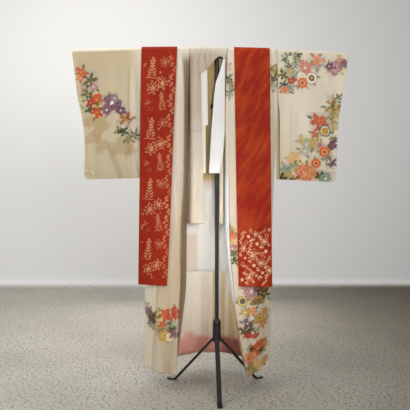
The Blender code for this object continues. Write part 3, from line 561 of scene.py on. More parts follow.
def frontLine(side, places, drop):
    # a section of a front at one drop: place 0 is the side seam, 1 the face, 2 the lip, 3 the free edge
    row = rowAt(bodyFront["columns"], bodyFront[side], drop)
    seam = rowAt(sideSeam["columns"], sideSeam["rows"], drop)
    planX = [row["sideOut"], row["faceOut"], row["lipOut"], row["edgeOut"]]
    planY = [seam["y"] - seam["halfGap"], row["faceY"], row["lipY"], row["edgeY"]]
    out, y = throughPlan(planX, planY, places)
    x = sideSign[side] * out
    forward = creaseLift(bodyFront["creases"][side], x, np.full(np.shape(x), drop))
    for topX, hemX, width, height, topDrop in bodyFront["folds"][side]:
        if drop > topDrop:
            run = (drop - topDrop) / (place["lowestDrop"] - topDrop)
            middle = topX + (hemX - topX) * run
            depth = height * run * run * (3.0 - 2.0 * run)
            forward = forward + depth * np.exp(-(((x - middle) / width) ** 2))
    fade = np.minimum(np.minimum(1.0, places), np.maximum(0.0, 2.0 - places) * 2.0)
    return x, y - forward * fade


def backLine(side, places, drop):
    # a section of a back: place 0 is the side seam, 1 the fold, 2 the trough, 3 the centre seam
    row = rowAt(bodyBack["columns"], bodyBack[side], drop)
    other = rowAt(bodyBack["columns"], bodyBack["right" if side == "left" else "left"], drop)
    seam = rowAt(sideSeam["columns"], sideSeam["rows"], drop)
    sideOut = rowAt(bodyFront["columns"], bodyFront[side], drop)["sideOut"]
    planX = [sideOut, row["foldOut"], row["troughOut"], row["centreOut"], -other["troughOut"]]
    planY = [seam["y"] + seam["halfGap"], row["foldY"], row["troughY"], row["centreY"], other["troughY"]]
    out, y = throughPlan(planX, planY, places)
    x = sideSign[side] * out
    lift = creaseLift(bodyBack["creases"][side], x, np.full(np.shape(x), drop))
    fade = smoothStep(0.0, 0.4, places) * smoothStep(3.0, 2.85, places)
    return x, y + lift * fade


def overlapStart(drop):
    return float(easedValues(bodyFront["overlapDrops"], bodyFront["overlapPlaces"], drop))


def seamStep(side, at, drop):
    # a seam's gap as a step along the section of a front
    x, y = frontLine(side, np.array((at - 0.02, min(at + 0.02, 3.0))), drop)
    span = min(at + 0.02, 3.0) - at + 0.02
    return bodyFront["seamGap"] * span / math.hypot(x[1] - x[0], y[1] - y[0])


def hangingRow(x, y, drop):
    return np.stack((x, y, barHeightAt(x) - drop), axis=-1)


def overBar(x, radius, share):
    angle = math.pi * share
    flat = np.full(np.shape(x), -radius * math.cos(angle))
    return np.stack((x, flat, barHeightAt(x) + radius * math.sin(angle)), axis=-1)


def hemDrop(x, height):
    return float(barHeightAt(x)) - height


frontZones = {"left": ((0.0, 0.006), (0.06, 0.009), (1.10, 0.0034), (1.33, 0.008)),
              "right": ((0.0, 0.005), (0.24, 0.009), (0.88, 0.0034))}
arcShares = [k / 14.0 for k in range(15)]


def bodyGrid(side):
    sign = sideSign[side]
    frontDrops = dropsBetween((*frontZones[side], (hemDrop(sign * 0.24, place["hemHeight"]), 0.0)))[1:]
    backHem = hemDrop(sign * 0.1, place["backHemHeight"])
    backDrops = dropsBetween(((0.006, 0.006), (0.03, 0.014), (backHem, 0.0)))
    shares = np.linspace(0.0, 1.0, bodyFront["columnsAcross"] + 1)
    grid = []
    for drop in reversed(frontDrops):
        last = overlapStart(drop)
        if drop >= bodyFront["kenSaki"]:
            last -= seamStep(side, last, drop)
        grid.append(hangingRow(*frontLine(side, last * shares, drop), drop))
    row = rowAt(bodyFront["columns"], bodyFront[side], 0.0)
    topX = sign * (row["sideOut"] + (row["edgeOut"] - row["sideOut"]) * shares)
    grid += [overBar(topX, place["bodyDrape"], share) for share in arcShares]
    grid += [hangingRow(*backLine(side, 3.0 * shares, drop), drop) for drop in backDrops]
    return np.array(grid), len(frontDrops), len(backDrops)


def okumiGrid(side):
    # the overlap panel, whose hem rises towards its free edge
    rise, riseStart = {"left": 0.050, "right": 0.072}[side], 1.20
    hem = hemDrop(sideSign[side] * 0.17, place["hemHeight"])
    drops = dropsBetween(((bodyFront["kenSaki"], 0.009), (0.90, 0.0036), (hem, 0.0)))
    shares = np.linspace(0.0, 1.0, 25)
    grid = []
    for drop in reversed(drops):
        first = overlapStart(drop)
        first += seamStep(side, first, drop)
        places = first + (3.0 - first) * shares
        lifted = max(0.0, (drop - riseStart) / (hem - riseStart))
        line = []
        for at, share in zip(places, shares):
            low = drop - rise * share * share * lifted
            x, y = frontLine(side, np.array((at,)), low)
            line.append(hangingRow(x, y, low)[0])
        grid.append(line)
    return np.array(grid)


def seenFromFront(grid):
    # x and drop of every point of a grid
    return grid[:, :, 0], barHeightAt(grid[:, :, 0]) - grid[:, :, 2]


# painted flowers of the fronts, placed as in the photo: kind, x, drop, size, turn, dyes of body, rim and heart
frontMotifs = {
    "left": (
        ("bloom", -0.297, 1.255, 0.025, 0, "plum", "mauve", "olive"),
        ("star", -0.269, 1.264, 0.030, 10, "olive", "leaf", "darkLeaf"),
        ("bloom", -0.281, 1.291, 0.021, 0, "plum", "darkRed", "olive"),
        ("star", -0.274, 1.320, 0.025, 20, "olive", "sage", "gold"),
        ("petals", -0.311, 1.226, 0.016, 60, "blush", "mauve", "cream"),
        ("maple", -0.216, 1.249, 0.030, 20, "orange", "red", "gold"),
        ("maple", -0.186, 1.260, 0.028, 80, "red", "orange", "gold"),
        ("maple", -0.156, 1.251, 0.028, 40, "orange", "red", "gold"),
        ("bloom", -0.167, 1.231, 0.019, 0, "red", "coral", "gold"),
        ("maple", -0.227, 1.300, 0.025, 10, "orange", "red", "gold"),
        ("cluster", -0.182, 1.302, 0.024, 0, "cream", "sage", "leaf"),
        ("star", -0.229, 1.331, 0.026, 0, "leaf", "gold", "leaf"),
        ("star", -0.188, 1.328, 0.022, 40, "darkLeaf", "leaf", "leaf"),
        ("bloom", -0.220, 1.354, 0.030, 10, "lemon", "gold", "olive"),
        ("bloom", -0.192, 1.362, 0.021, 0, "lemon", "cream", "gold"),
        ("fan", -0.162, 1.362, 0.030, -10, "plum", "mauve", "gold"),
        ("bloom", -0.175, 1.341, 0.017, -10, "plum", "mauve", "gold"),
    ),
    "right": (
        ("cluster", 0.301, 0.087, 0.021, 0, "lemon", "gold", "olive"),
        ("star", 0.304, 0.130, 0.035, 0, "darkLeaf", "olive", "leaf"),
        ("petals", 0.309, 0.163, 0.022, 90, "ash", "cream", "ash"),
        ("cluster", 0.287, 0.155, 0.016, 0, "lemon", "gold", "sage"),
        ("star", 0.085, 0.133, 0.022, 20, "darkRed", "darkLeaf", "darkLeaf"),
        ("cluster", 0.103, 0.172, 0.025, 0, "lemon", "sage", "olive"),
        ("star", 0.091, 0.207, 0.019, 20, "sage", "leaf", "sage"),
        ("petals", 0.082, 0.079, 0.019, 80, "blush", "blush", "cream"),
        ("cluster", 0.096, 0.851, 0.022, 0, "lemon", "gold", "olive"),
        ("bloom", 0.106, 0.878, 0.023, 0, "peach", "orange", "gold"),
        ("bloom", 0.108, 0.908, 0.020, 30, "peach", "lemon", "gold"),
        ("bloom", 0.105, 0.936, 0.021, 0, "blush", "mauve", "cream"),
        ("star", 0.114, 0.962, 0.024, 20, "leaf", "olive", "leaf"),
        ("star", 0.117, 0.992, 0.021, 60, "darkLeaf", "leaf", "leaf"),
        ("star", 0.166, 1.116, 0.022, 0, "leaf", "olive", "leaf"),
        ("peony", 0.197, 1.139, 0.042, 0, "blush", "mauve", "cream"),
        ("bloom", 0.227, 1.124, 0.024, 0, "plum", "mauve", "gold"),
        ("maple", 0.265, 1.116, 0.031, 0, "orange", "coral", "gold"),
        ("star", 0.264, 1.159, 0.035, 20, "darkLeaf", "leaf", "gold"),
        ("star", 0.246, 1.147, 0.026, 70, "leaf", "darkLeaf", "gold"),
        ("ring", 0.154, 1.184, 0.026, 0, "lemon", "plum", "olive"),
        ("fan", 0.226, 1.207, 0.042, 0, "olive", "gold", "sage"),
        ("maple", 0.199, 1.232, 0.025, 10, "peach", "orange", "gold"),
        ("bloom", 0.169, 1.238, 0.021, 10, "lemon", "gold", "cream"),
        ("bloom", 0.240, 1.274, 0.030, 10, "lemon", "gold", "coral"),
        ("bloom", 0.268, 1.247, 0.019, 10, "coral", "peach", "gold"),
        ("star", 0.262, 1.295, 0.024, 50, "peach", "coral", "gold"),
        ("iris", 0.178, 1.293, 0.028, 0, "plum", "mauve", "cream"),
        ("star", 0.162, 1.327, 0.028, 0, "darkLeaf", "leaf", "leaf"),
        ("star", 0.200, 1.322, 0.024, 40, "leaf", "darkLeaf", "leaf"),
        ("ribbon", 0.197, 1.351, 0.042, -14, "coral", "red", "peach"),
        ("ribbon", 0.249, 1.314, 0.024, -50, "peach", "coral", "cream"),
        ("peony", 0.232, 1.419, 0.041, 0, "coral", "orange", "peach"),
        ("bloom", 0.194, 1.456, 0.034, 0, "coral", "peach", "gold"),
        ("star", 0.202, 1.420, 0.019, 0, "darkLeaf", "leaf", "leaf"),
        ("star", 0.253, 1.435, 0.019, 40, "darkLeaf", "leaf", "leaf"),
        ("bloom", 0.268, 1.406, 0.019, 0, "peach", "coral", "gold"),
        ("cluster", 0.200, 1.512, 0.035, 0, "lemon", "gold", "olive"),
        ("cluster", 0.238, 1.504, 0.028, 0, "gold", "lemon", "peach"),
        ("bloom", 0.272, 1.493, 0.019, 0, "coral", "peach", "gold"),
    ),
}

# painted brown shade where the fronts fold back, and the faced edge of the right front with painted shadow and shade
# beside and below it
foldTone = {
    "washAndShade": (0.34, 0.22, 0.10), "shadowBrown": (0.15, 0.075, 0.030), "facing": (0.86, 0.88, 0.92),
    "gold": (0.58, 0.38, 0.15), "roseInShade": (0.22, 0.06, 0.06),
    "broad": {"left": (0.0, 0.50), "right": (0.0, 0.08)}, "deep": {"left": 0.74, "right": 0.35},
    "facingDrops": (0.60, 1.20, 1.47), "facingWidth": 0.012,
    # lines where folds lie over each other: x and drop at both ends, reach of the shade, strength
    "lines": {
        "left": ((-0.244, 1.02, -0.292, 1.58, 0.006, 0.46), (-0.240, 1.04, -0.288, 1.58, 0.040, 0.30),
                 (-0.181, 1.36, -0.212, 1.60, 0.012, 0.42),
                 (-0.205, 0.10, -0.196, 1.02, -0.016, 0.12), (-0.136, 0.05, -0.146, 1.30, 0.010, 0.16)),
        "right": ((0.262, 1.10, 0.258, 1.52, 0.010, 0.22), (0.089, 0.05, 0.084, 0.60, 0.008, 0.18),
                  (0.306, 0.03, 0.300, 0.34, -0.008, 0.20)),
    },
}


def frontDyeAndShade(side, places, x, drop):
    # a thin painted brown shade, growing lower down and towards the fold, the flowers over it, then the painted
    # shades of the folds
    high, low = foldTone["broad"][side]
    dyeAndShade = np.zeros(x.shape + (4,))
    strength = high + (low - high) * smoothStep(0.3, 1.0, drop)
    layDyeAndShade(dyeAndShade, foldTone["washAndShade"], strength * smoothStep(0.5, 1.6, places))
    flowers = paintMotifs(frontMotifs[side], x, drop)
    layDyeAndShade(dyeAndShade, flowers[:, :, :3], flowers[:, :, 3])
    shadeFold(side, dyeAndShade, places, x, drop)
    return dyeAndShade


def shadeFold(side, dyeAndShade, places, x, drop):
    # painted dark shade in the valley from the lip to the free edge
    deep = foldTone["deep"][side] * smoothStep(1.90, 2.20, places) * smoothStep(0.0, 0.07, drop)
    layDyeAndShade(dyeAndShade, foldTone["shadowBrown"], deep)
    foldShades(dyeAndShade, x, drop, foldTone["lines"][side], foldTone["washAndShade"])
    if side == "right":
        start, turn, corner = foldTone["facingDrops"]
        edge = smoothStep(2.12, 2.20, places)
        lips = [rowAt(bodyFront["columns"], bodyFront[side], rowDrop)["lipOut"] for rowDrop in drop[:, 0]]
        lip = np.array(lips)[:, None]
        away = x - lip - foldTone["facingWidth"] * smoothStep(turn + 0.02, turn - 0.35, drop)
        between = smoothStep(start - 0.04, start + 0.04, drop) * smoothStep(turn + 0.01, turn - 0.01, drop)
        # the white facing of the right front, then a painted shadow line beside it
        layDyeAndShade(dyeAndShade, foldTone["facing"], 0.95 * smoothStep(0.0012, -0.0004, away) * between)
        layDyeAndShade(dyeAndShade, foldTone["shadowBrown"], 0.70 * np.exp(-(((away - 0.0024) / 0.0019) ** 2)) * between)
        # painted golden shade on the turned edge below the facing, turning to painted rose shade at the hem corner
        layDyeAndShade(dyeAndShade, foldTone["gold"], edge * smoothStep(turn - 0.01, turn + 0.01, drop) * 0.9)
        layDyeAndShade(dyeAndShade, foldTone["roseInShade"], edge * smoothStep(corner - 0.02, corner + 0.02, drop) * 0.9)


pieces = {}
bodyGrids = {}
bothFaces = [finishes["silk"], finishes["white"]]
for side in ("left", "right"):
    grid, frontRows, backRows = bodyGrid(side)
    bodyGrids[side] = (grid, backRows)
    dyeAndShade = np.zeros(grid.shape[:2] + (4,))
    x, drop = seenFromFront(grid[:frontRows])
    shares = np.linspace(0.0, 1.0, grid.shape[1])
    places = np.array([overlapStart(rowDrop) for rowDrop in drop[:, 0]])[:, None] * shares
    dyeAndShade[:frontRows] = frontDyeAndShade(side, places, x, drop)
    pieces["body_" + side] = clothPiece("body_" + side, grid, bothFaces, dyeAndShade=dyeAndShade)
    overlap = okumiGrid(side)
    x, drop = seenFromFront(overlap)
    shares = np.linspace(0.0, 1.0, overlap.shape[1])
    first = np.array([overlapStart(rowDrop) for rowDrop in drop[:, 0]])[:, None]
    dyeAndShade = frontDyeAndShade(side, first + (3.0 - first) * shares, x, drop)
    pieces["okumi_" + side] = clothPiece("okumi_" + side, overlap, bothFaces, dyeAndShade=dyeAndShade)
print("body and overlap panels made")


# sleeves: outer edge, edge beside the body in front and behind, and half their depth, at each drop
sleeve = {
    "columns": ("drop", "outer", "frontInner", "backInner", "halfDepth"),
    "left": (
        (0.00, 0.6510, 0.3158, 0.3158, 0.0141), (0.10, 0.6390, 0.3158, 0.3158, 0.0138),
        (0.20, 0.6280, 0.3158, 0.3158, 0.0132), (0.30, 0.6100, 0.3162, 0.3162, 0.0126),
        (0.41, 0.5985, 0.3166, 0.3166, 0.0122), (0.60, 0.6020, 0.3168, 0.3168, 0.0110),
    ),
    "right": (
        (0.00, 0.6500, 0.3158, 0.3158, 0.0141), (0.10, 0.6410, 0.3196, 0.3196, 0.0138),
        (0.20, 0.6240, 0.3216, 0.3216, 0.0132), (0.30, 0.6120, 0.3310, 0.3208, 0.0126),
        (0.41, 0.6070, 0.3320, 0.3180, 0.0122), (0.60, 0.6020, 0.3330, 0.3175, 0.0110),
    ),
    "depth": 0.602, "corner": 0.030, "cuff": 0.23, "closed": 0.0013,
    "creases": {
        "left": ((-0.352, 0.02, -0.356, 0.60, 0.0120, 0.0075), (-0.378, 0.06, -0.384, 0.44, 0.0070, -0.0060),
                 (-0.402, 0.16, -0.408, 0.60, 0.0100, 0.0030), (-0.512, 0.40, -0.418, 0.63, 0.0110, 0.0080),
                 (-0.480, 0.44, -0.396, 0.60, 0.0090, -0.0070), (-0.560, 0.34, -0.536, 0.61, 0.0160, 0.0060),
                 (-0.590, 0.42, -0.560, 0.61, 0.0070, -0.0060), (-0.640, 0.02, -0.598, 0.24, 0.0120, 0.0050),
                 (-0.612, 0.06, -0.580, 0.34, 0.0100, -0.0035), (-0.440, 0.02, -0.452, 0.30, 0.0220, 0.0035),
                 (-0.372, 0.40, -0.332, 0.60, 0.0080, -0.0050),
                 (-0.604, 0.56, -0.540, 0.585, 0.0060, 0.0040)),
        "right": ((0.345, 0.10, 0.352, 0.58, 0.0090, -0.0040), (0.372, 0.20, 0.378, 0.58, 0.0110, 0.0040),
                  (0.596, 0.12, 0.584, 0.50, 0.0100, -0.0040), (0.360, 0.19, 0.628, 0.145, 0.0030, -0.0012),
                  (0.470, 0.24, 0.462, 0.58, 0.0160, 0.0045), (0.520, 0.30, 0.540, 0.56, 0.0130, -0.0040),
                  (0.420, 0.26, 0.408, 0.56, 0.0100, -0.0035), (0.560, 0.02, 0.552, 0.18, 0.0140, 0.0025)),
    },
    # painted brown shade over the outer part of the left sleeve, painted gold shade in the shadow of the opening
    # below each arm, and lines of painted fold shade
    "washAndShade": (0.40, 0.28, 0.10), "shadeCover": 0.58, "shadeEdge": (-0.330, -0.395), "gold": (0.44, 0.31, 0.09),
    "lines": ((-0.505, 0.42, -0.425, 0.62, 0.014, 0.46), (-0.575, 0.38, -0.545, 0.60, 0.014, 0.24),
              (-0.632, 0.02, -0.604, 0.22, 0.010, 0.26), (-0.596, 0.50, -0.540, 0.64, -0.030, 0.28),
              (-0.350, 0.06, -0.353, 0.44, -0.012, 0.26), (-0.384, 0.30, -0.372, 0.60, 0.014, 0.16)),
    "columnsAcross": 104,
}
# painted flowers of the sleeves, in the same order of values as those of the fronts
sleeveMotifs = {
    "left": (
        ("cloud", -0.575, 0.330, 0.038, 0, "mist", "mist", "mist"),
        ("cloud", -0.565, 0.406, 0.038, 0, "mist", "mist", "mist"),
        ("cloud", -0.519, 0.351, 0.052, 0, "mist", "mist", "mist"),
        ("cloud", -0.511, 0.441, 0.043, 0, "mist", "mist", "mist"),
        ("cloud", -0.418, 0.453, 0.057, 0, "mist", "mist", "mist"),
        ("cloud", -0.375, 0.468, 0.033, 0, "mist", "mist", "mist"),
        ("maple", -0.609, 0.096, 0.029, 10, "orange", "coral", "gold"),
        ("bloom", -0.612, 0.125, 0.016, 0, "peach", "orange", "cream"),
        ("star", -0.568, 0.133, 0.036, 0, "olive", "leaf", "olive"),
        ("petals", -0.552, 0.166, 0.024, 90, "ash", "mauve", "cream"),
        ("star", -0.578, 0.203, 0.029, 40, "leaf", "olive", "gold"),
        ("bloom", -0.537, 0.226, 0.031, 20, "orange", "coral", "gold"),
        ("bloom", -0.566, 0.240, 0.019, 0, "coral", "red", "gold"),
        ("cluster", -0.528, 0.257, 0.024, 0, "cream", "gold", "leaf"),
        ("star", -0.570, 0.269, 0.024, 10, "leaf", "darkLeaf", "leaf"),
        ("maple", -0.536, 0.287, 0.031, 100, "orange", "red", "gold"),
        ("peony", -0.462, 0.244, 0.043, 0, "mauve", "plum", "cream"),
        ("bloom", -0.488, 0.277, 0.025, 0, "plum", "mauve", "cream"),
        ("bloom", -0.422, 0.281, 0.024, 30, "mauve", "plum", "cream"),
        ("bloom", -0.450, 0.223, 0.022, 30, "ash", "mauve", "cream"),
        ("star", -0.398, 0.324, 0.036, 0, "olive", "orange", "gold"),
        ("petals", -0.396, 0.354, 0.024, 90, "ash", "cream", "ash"),
        ("star", -0.412, 0.380, 0.027, 25, "darkLeaf", "leaf", "darkLeaf"),
        ("star", -0.432, 0.377, 0.017, 50, "darkLeaf", "leaf", "darkLeaf"),
        ("star", -0.358, 0.397, 0.024, 80, "leaf", "darkLeaf", "gold"),
        ("star", -0.387, 0.418, 0.022, 20, "palm", "leaf", "gold"),
        ("petals", -0.616, 0.188, 0.016, 60, "blush", "blush", "cream"),
        ("petals", -0.616, 0.239, 0.017, 60, "sage", "sage", "cream"),
    ),
    "right": (
        ("star", 0.370, 0.025, 0.029, 10, "teal", "leaf", "sage"),
        ("star", 0.415, 0.010, 0.020, 60, "darkLeaf", "leaf", "leaf"),
        ("cluster", 0.384, 0.053, 0.031, 0, "sage", "leaf", "cream"),
        ("star", 0.378, 0.069, 0.019, 30, "darkLeaf", "leaf", "leaf"),
        ("mum", 0.449, 0.070, 0.034, 0, "blush", "coral", "cream"),
        ("petals", 0.504, 0.060, 0.024, 90, "ash", "mauve", "ash"),
        ("star", 0.508, 0.032, 0.036, 0, "peach", "orange", "gold"),
        ("bloom", 0.590, 0.065, 0.033, 10, "blush", "mauve", "plum"),
        ("bloom", 0.562, 0.058, 0.019, 30, "mauve", "plum", "cream"),
        ("bloom", 0.631, 0.040, 0.024, 0, "plum", "mauve", "coral"),
        ("star", 0.610, 0.021, 0.019, 20, "gold", "peach", "gold"),
        ("cluster", 0.373, 0.098, 0.024, 0, "lemon", "gold", "sage"),
        ("star", 0.404, 0.105, 0.021, 10, "teal", "sage", "teal"),
        ("ring", 0.432, 0.113, 0.022, 0, "cream", "blush", "cream"),
        ("ring", 0.479, 0.117, 0.029, 0, "cream", "plum", "gold"),
        ("ring", 0.436, 0.142, 0.026, 0, "orange", "peach", "red"),
        ("bloom", 0.386, 0.133, 0.020, 0, "coral", "red", "gold"),
        ("star", 0.344, 0.108, 0.024, 30, "darkLeaf", "leaf", "leaf"),
        ("star", 0.348, 0.153, 0.021, 0, "darkLeaf", "leaf", "darkLeaf"),
        ("bloom", 0.354, 0.176, 0.022, 20, "coral", "peach", "gold"),
        ("star", 0.380, 0.165, 0.022, 50, "leaf", "sage", "leaf"),
        ("star", 0.610, 0.203, 0.024, 20, "teal", "darkLeaf", "teal"),
        ("star", 0.580, 0.241, 0.038, 0, "olive", "gold", "leaf"),
        ("cluster", 0.603, 0.255, 0.021, 0, "lemon", "gold", "olive"),
        ("star", 0.580, 0.289, 0.034, 25, "olive", "lemon", "gold"),
        ("cluster", 0.590, 0.333, 0.024, 0, "lemon", "sage", "gold"),
        ("maple", 0.515, 0.318, 0.043, 20, "orange", "coral", "gold"),
        ("maple", 0.497, 0.379, 0.022, 60, "orange", "coral", "gold"),
        ("hexagon", 0.546, 0.362, 0.030, 0, "gold", "darkRed", "cream"),
        ("petals", 0.457, 0.430, 0.029, 20, "sage", "sage", "cream"),
        ("star", 0.432, 0.413, 0.019, 0, "gold", "lemon", "gold"),
        ("petals", 0.451, 0.461, 0.029, 70, "sage", "sage", "cream"),
        ("star", 0.493, 0.425, 0.033, 75, "gold", "lemon", "gold"),
        ("bloom", 0.524, 0.431, 0.023, 0, "mauve", "blush", "plum"),
        ("bloom", 0.582, 0.426, 0.024, 20, "mauve", "plum", "coral"),
        ("star", 0.595, 0.397, 0.019, 60, "darkLeaf", "leaf", "leaf"),
        ("ring", 0.545, 0.461, 0.028, 0, "orange", "peach", "red"),
        ("ring", 0.504, 0.517, 0.025, 0, "orange", "peach", "red"),
        ("star", 0.557, 0.489, 0.020, 20, "leaf", "sage", "leaf"),
        ("cluster", 0.396, 0.497, 0.029, 0, "gold", "lemon", "peach"),
        ("star", 0.583, 0.513, 0.030, 20, "darkLeaf", "mauve", "darkLeaf"),
        ("star", 0.398, 0.536, 0.029, 0, "sage", "leaf", "sage"),
        ("star", 0.361, 0.548, 0.027, 30, "teal", "sage", "teal"),
        ("peony", 0.590, 0.557, 0.029, 0, "ash", "cream", "gold"),
        ("bloom", 0.484, 0.552, 0.019, 0, "mauve", "blush", "plum"),
        ("mum", 0.450, 0.568, 0.050, 0, "coral", "peach", "peach"),
        ("bloom", 0.495, 0.566, 0.027, 0, "coral", "peach", "gold"),
        ("star", 0.524, 0.576, 0.026, 10, "leaf", "darkLeaf", "leaf"),
        ("peony", 0.552, 0.586, 0.031, 0, "sage", "teal", "cream"),
        ("cluster", 0.366, 0.579, 0.029, 0, "olive", "sage", "gold"),
        ("star", 0.340, 0.592, 0.029, 0, "darkLeaf", "leaf", "darkLeaf"),
        ("star", 0.402, 0.598, 0.024, 40, "olive", "leaf", "gold"),
    ),
}


def sleeveRow(side, shares, drop, front):
    row = rowAt(sleeve["columns"], sleeve[side], drop)
    inner = row["frontInner" if front else "backInner"]
    low = max(0.0, drop - (sleeve["depth"] - sleeve["corner"])) / sleeve["corner"]
    outer = row["outer"] - sleeve["corner"] * (1.0 - math.sqrt(max(0.0, 1.0 - low * low))) * 0.8
    bottom = float(easedValues((0.0, 0.40, 0.56, sleeve["depth"]), (1.0, 1.0, 0.6, 0.0), drop))
    sewn = float(easedValues((0.0, sleeve["cuff"], 0.32, 0.7), (1.0, 1.0, 0.0, 0.0), drop))
    nearEdge = easedValues((0.0, 0.72, 1.0), (1.0, 1.0, sewn), shares)
    half = sleeve["closed"] + (row["halfDepth"] - sleeve["closed"]) * bottom * nearEdge
    out = inner + (outer - inner) * shares
    wave = 0.0035 * np.sin(27.0 * (out - 0.27)) * min(1.0, drop / 0.2)
    x = sideSign[side] * out
    lift = creaseLift(sleeve["creases"][side], x, np.full(np.shape(x), drop))
    fade = smoothStep(0.0, 0.04, shares) * smoothStep(1.0, 0.96, shares)
    y = wave - half - lift * fade if front else wave + half - np.minimum(lift, 0.0) * fade * 0.7
    return hangingRow(x, y, drop)


for side in ("left", "right"):
    frontDrops = dropsBetween(((0.0, 0.0028), (sleeve["depth"] - 0.02, 0.002), (sleeve["depth"], 0.0)))[1:]
    backDrops = dropsBetween(((0.0, 0.01), (sleeve["depth"] - 0.02, 0.004), (sleeve["depth"], 0.0)))[1:]
    shares = np.linspace(0.0, 1.0, sleeve["columnsAcross"] + 1)
    top = rowAt(sleeve["columns"], sleeve[side], 0.0)
    topX = sideSign[side] * (top["frontInner"] + (top["outer"] - top["frontInner"]) * shares)
    grid = [sleeveRow(side, shares, drop, True) for drop in reversed(frontDrops)]
    grid += [overBar(topX, place["bodyDrape"], share) for share in arcShares]
    grid += [sleeveRow(side, shares, drop, False) for drop in backDrops]
    grid = np.array(grid)
    dyeAndShade = np.zeros(grid.shape[:2] + (4,))
    x, drop = seenFromFront(grid[:len(frontDrops)])
    painted = np.zeros(x.shape + (4,))
    # painted brown shade over the outer part of the left sleeve, under its flowers
    if side == "left":
        uneven = 0.84 + 0.16 * np.sin(9.0 * x + 6.0 * drop)
        layDyeAndShade(painted, sleeve["washAndShade"], sleeve["shadeCover"] * smoothStep(*sleeve["shadeEdge"], x) * uneven)
    flowers = paintMotifs(sleeveMotifs[side], x, drop)
    layDyeAndShade(painted, flowers[:, :, :3], flowers[:, :, 3])
    # painted fold shades of the left sleeve, over its flowers
    if side == "left":
        foldShades(painted, x, drop, sleeve["lines"], foldTone["washAndShade"])
    dyeAndShade[:len(frontDrops)] = painted
    x, drop = seenFromFront(grid[-len(backDrops):])
    # painted gold shade inside the back of the sleeve, near the opening below the arm
    dyeAndShade[-len(backDrops):, :, :3] = sleeve["gold"]
    dyeAndShade[-len(backDrops):, :, 3] = smoothStep(0.375, 0.345, np.abs(x)) * smoothStep(0.20, 0.28, drop) * 0.85
    cloth = [finishes["silk"], finishes["lining"]]
    pieces["sleeve_" + side] = clothPiece("sleeve_" + side, grid, cloth, dyeAndShade=dyeAndShade)
print("sleeves made")


# collar: inner edges of its two legs, and the lower edge of the neck, as drop and x or x and drop
collar = {
    "legs": {
        "left": ((0.00, 0.0430), (0.22, 0.0420), (0.38, 0.0380), (0.54, 0.0340), (0.82, 0.0290)),
        "right": ((0.00, 0.0615), (0.11, 0.0600), (0.28, 0.0520), (0.48, 0.0470), (0.82, 0.0460)),
    },
    "neck": ((-0.0430, 0.110), (-0.0120, 0.086), (0.0140, 0.057), (0.0300, 0.038), (0.0450, 0.030),
             (0.0615, 0.034)),
    "end": 0.82, "overEnd": 0.38, "lift": 0.010, "turnShare": 0.34, "valleyGap": 0.0034, "edgeGap": 0.0009,
    "startAngle": 163.0, "overLift": 0.00179,
    # wrinkles where the neck is pulled over the bar: x and drop at both ends, width, height
    "creases": ((-0.036, 0.016, -0.020, 0.104, 0.0035, 0.0050),
                (-0.024, 0.004, -0.010, 0.084, 0.0030, -0.0040),
                (-0.012, 0.004, 0.002, 0.072, 0.0032, 0.0045), (0.004, -0.002, 0.022, 0.050, 0.0030, -0.0026),
                (-0.050, 0.020, -0.046, 0.150, 0.0060, -0.0030),
                (0.020, -0.002, 0.050, 0.030, 0.0032, 0.0030),
                (-0.062, 0.040, -0.058, 0.360, 0.0100, 0.0030),
                (-0.060, 0.400, -0.052, 0.800, 0.0090, 0.0030),
                (-0.076, 0.380, -0.070, 0.780, 0.0060, -0.0020),
                (-0.080, 0.060, -0.074, 0.340, 0.0060, -0.0018)),
    "shade": (0.30, 0.20, 0.11),
    "legColumns": {"left": 20, "right": 9}, "neckColumns": 26,
}


def collarFace(drop):
    return -place["collarDrape"] - collar["lift"] * np.clip(drop / collar["end"], 0.0, 1.0)


def collarLeg(side, shares, drop, lift):
    # share 0 is the outer edge, turned back into the fold beside the front
    front = rowAt(bodyFront["columns"], bodyFront[side], drop)
    keys = [row[0] for row in collar["legs"][side]]
    inner = float(easedValues(keys, [row[1] for row in collar["legs"][side]], drop))
    deep = min(1.0, drop / 0.10)
    outer = front["edgeOut"] - collar["edgeGap"] - (collar["valleyGap"] - collar["edgeGap"]) * deep
    turned = np.maximum(0.0, 1.0 - shares / collar["turnShare"]) ** 2 * deep
    x = sideSign[side] * (outer + (inner - outer) * shares)
    y = collarFace(drop) + (front["edgeY"] - collarFace(drop)) * turned
    y = y - creaseLift(collar["creases"], x, np.full(np.shape(x), drop)) * (1.0 - turned)
    return hangingRow(x, y - lift, drop)


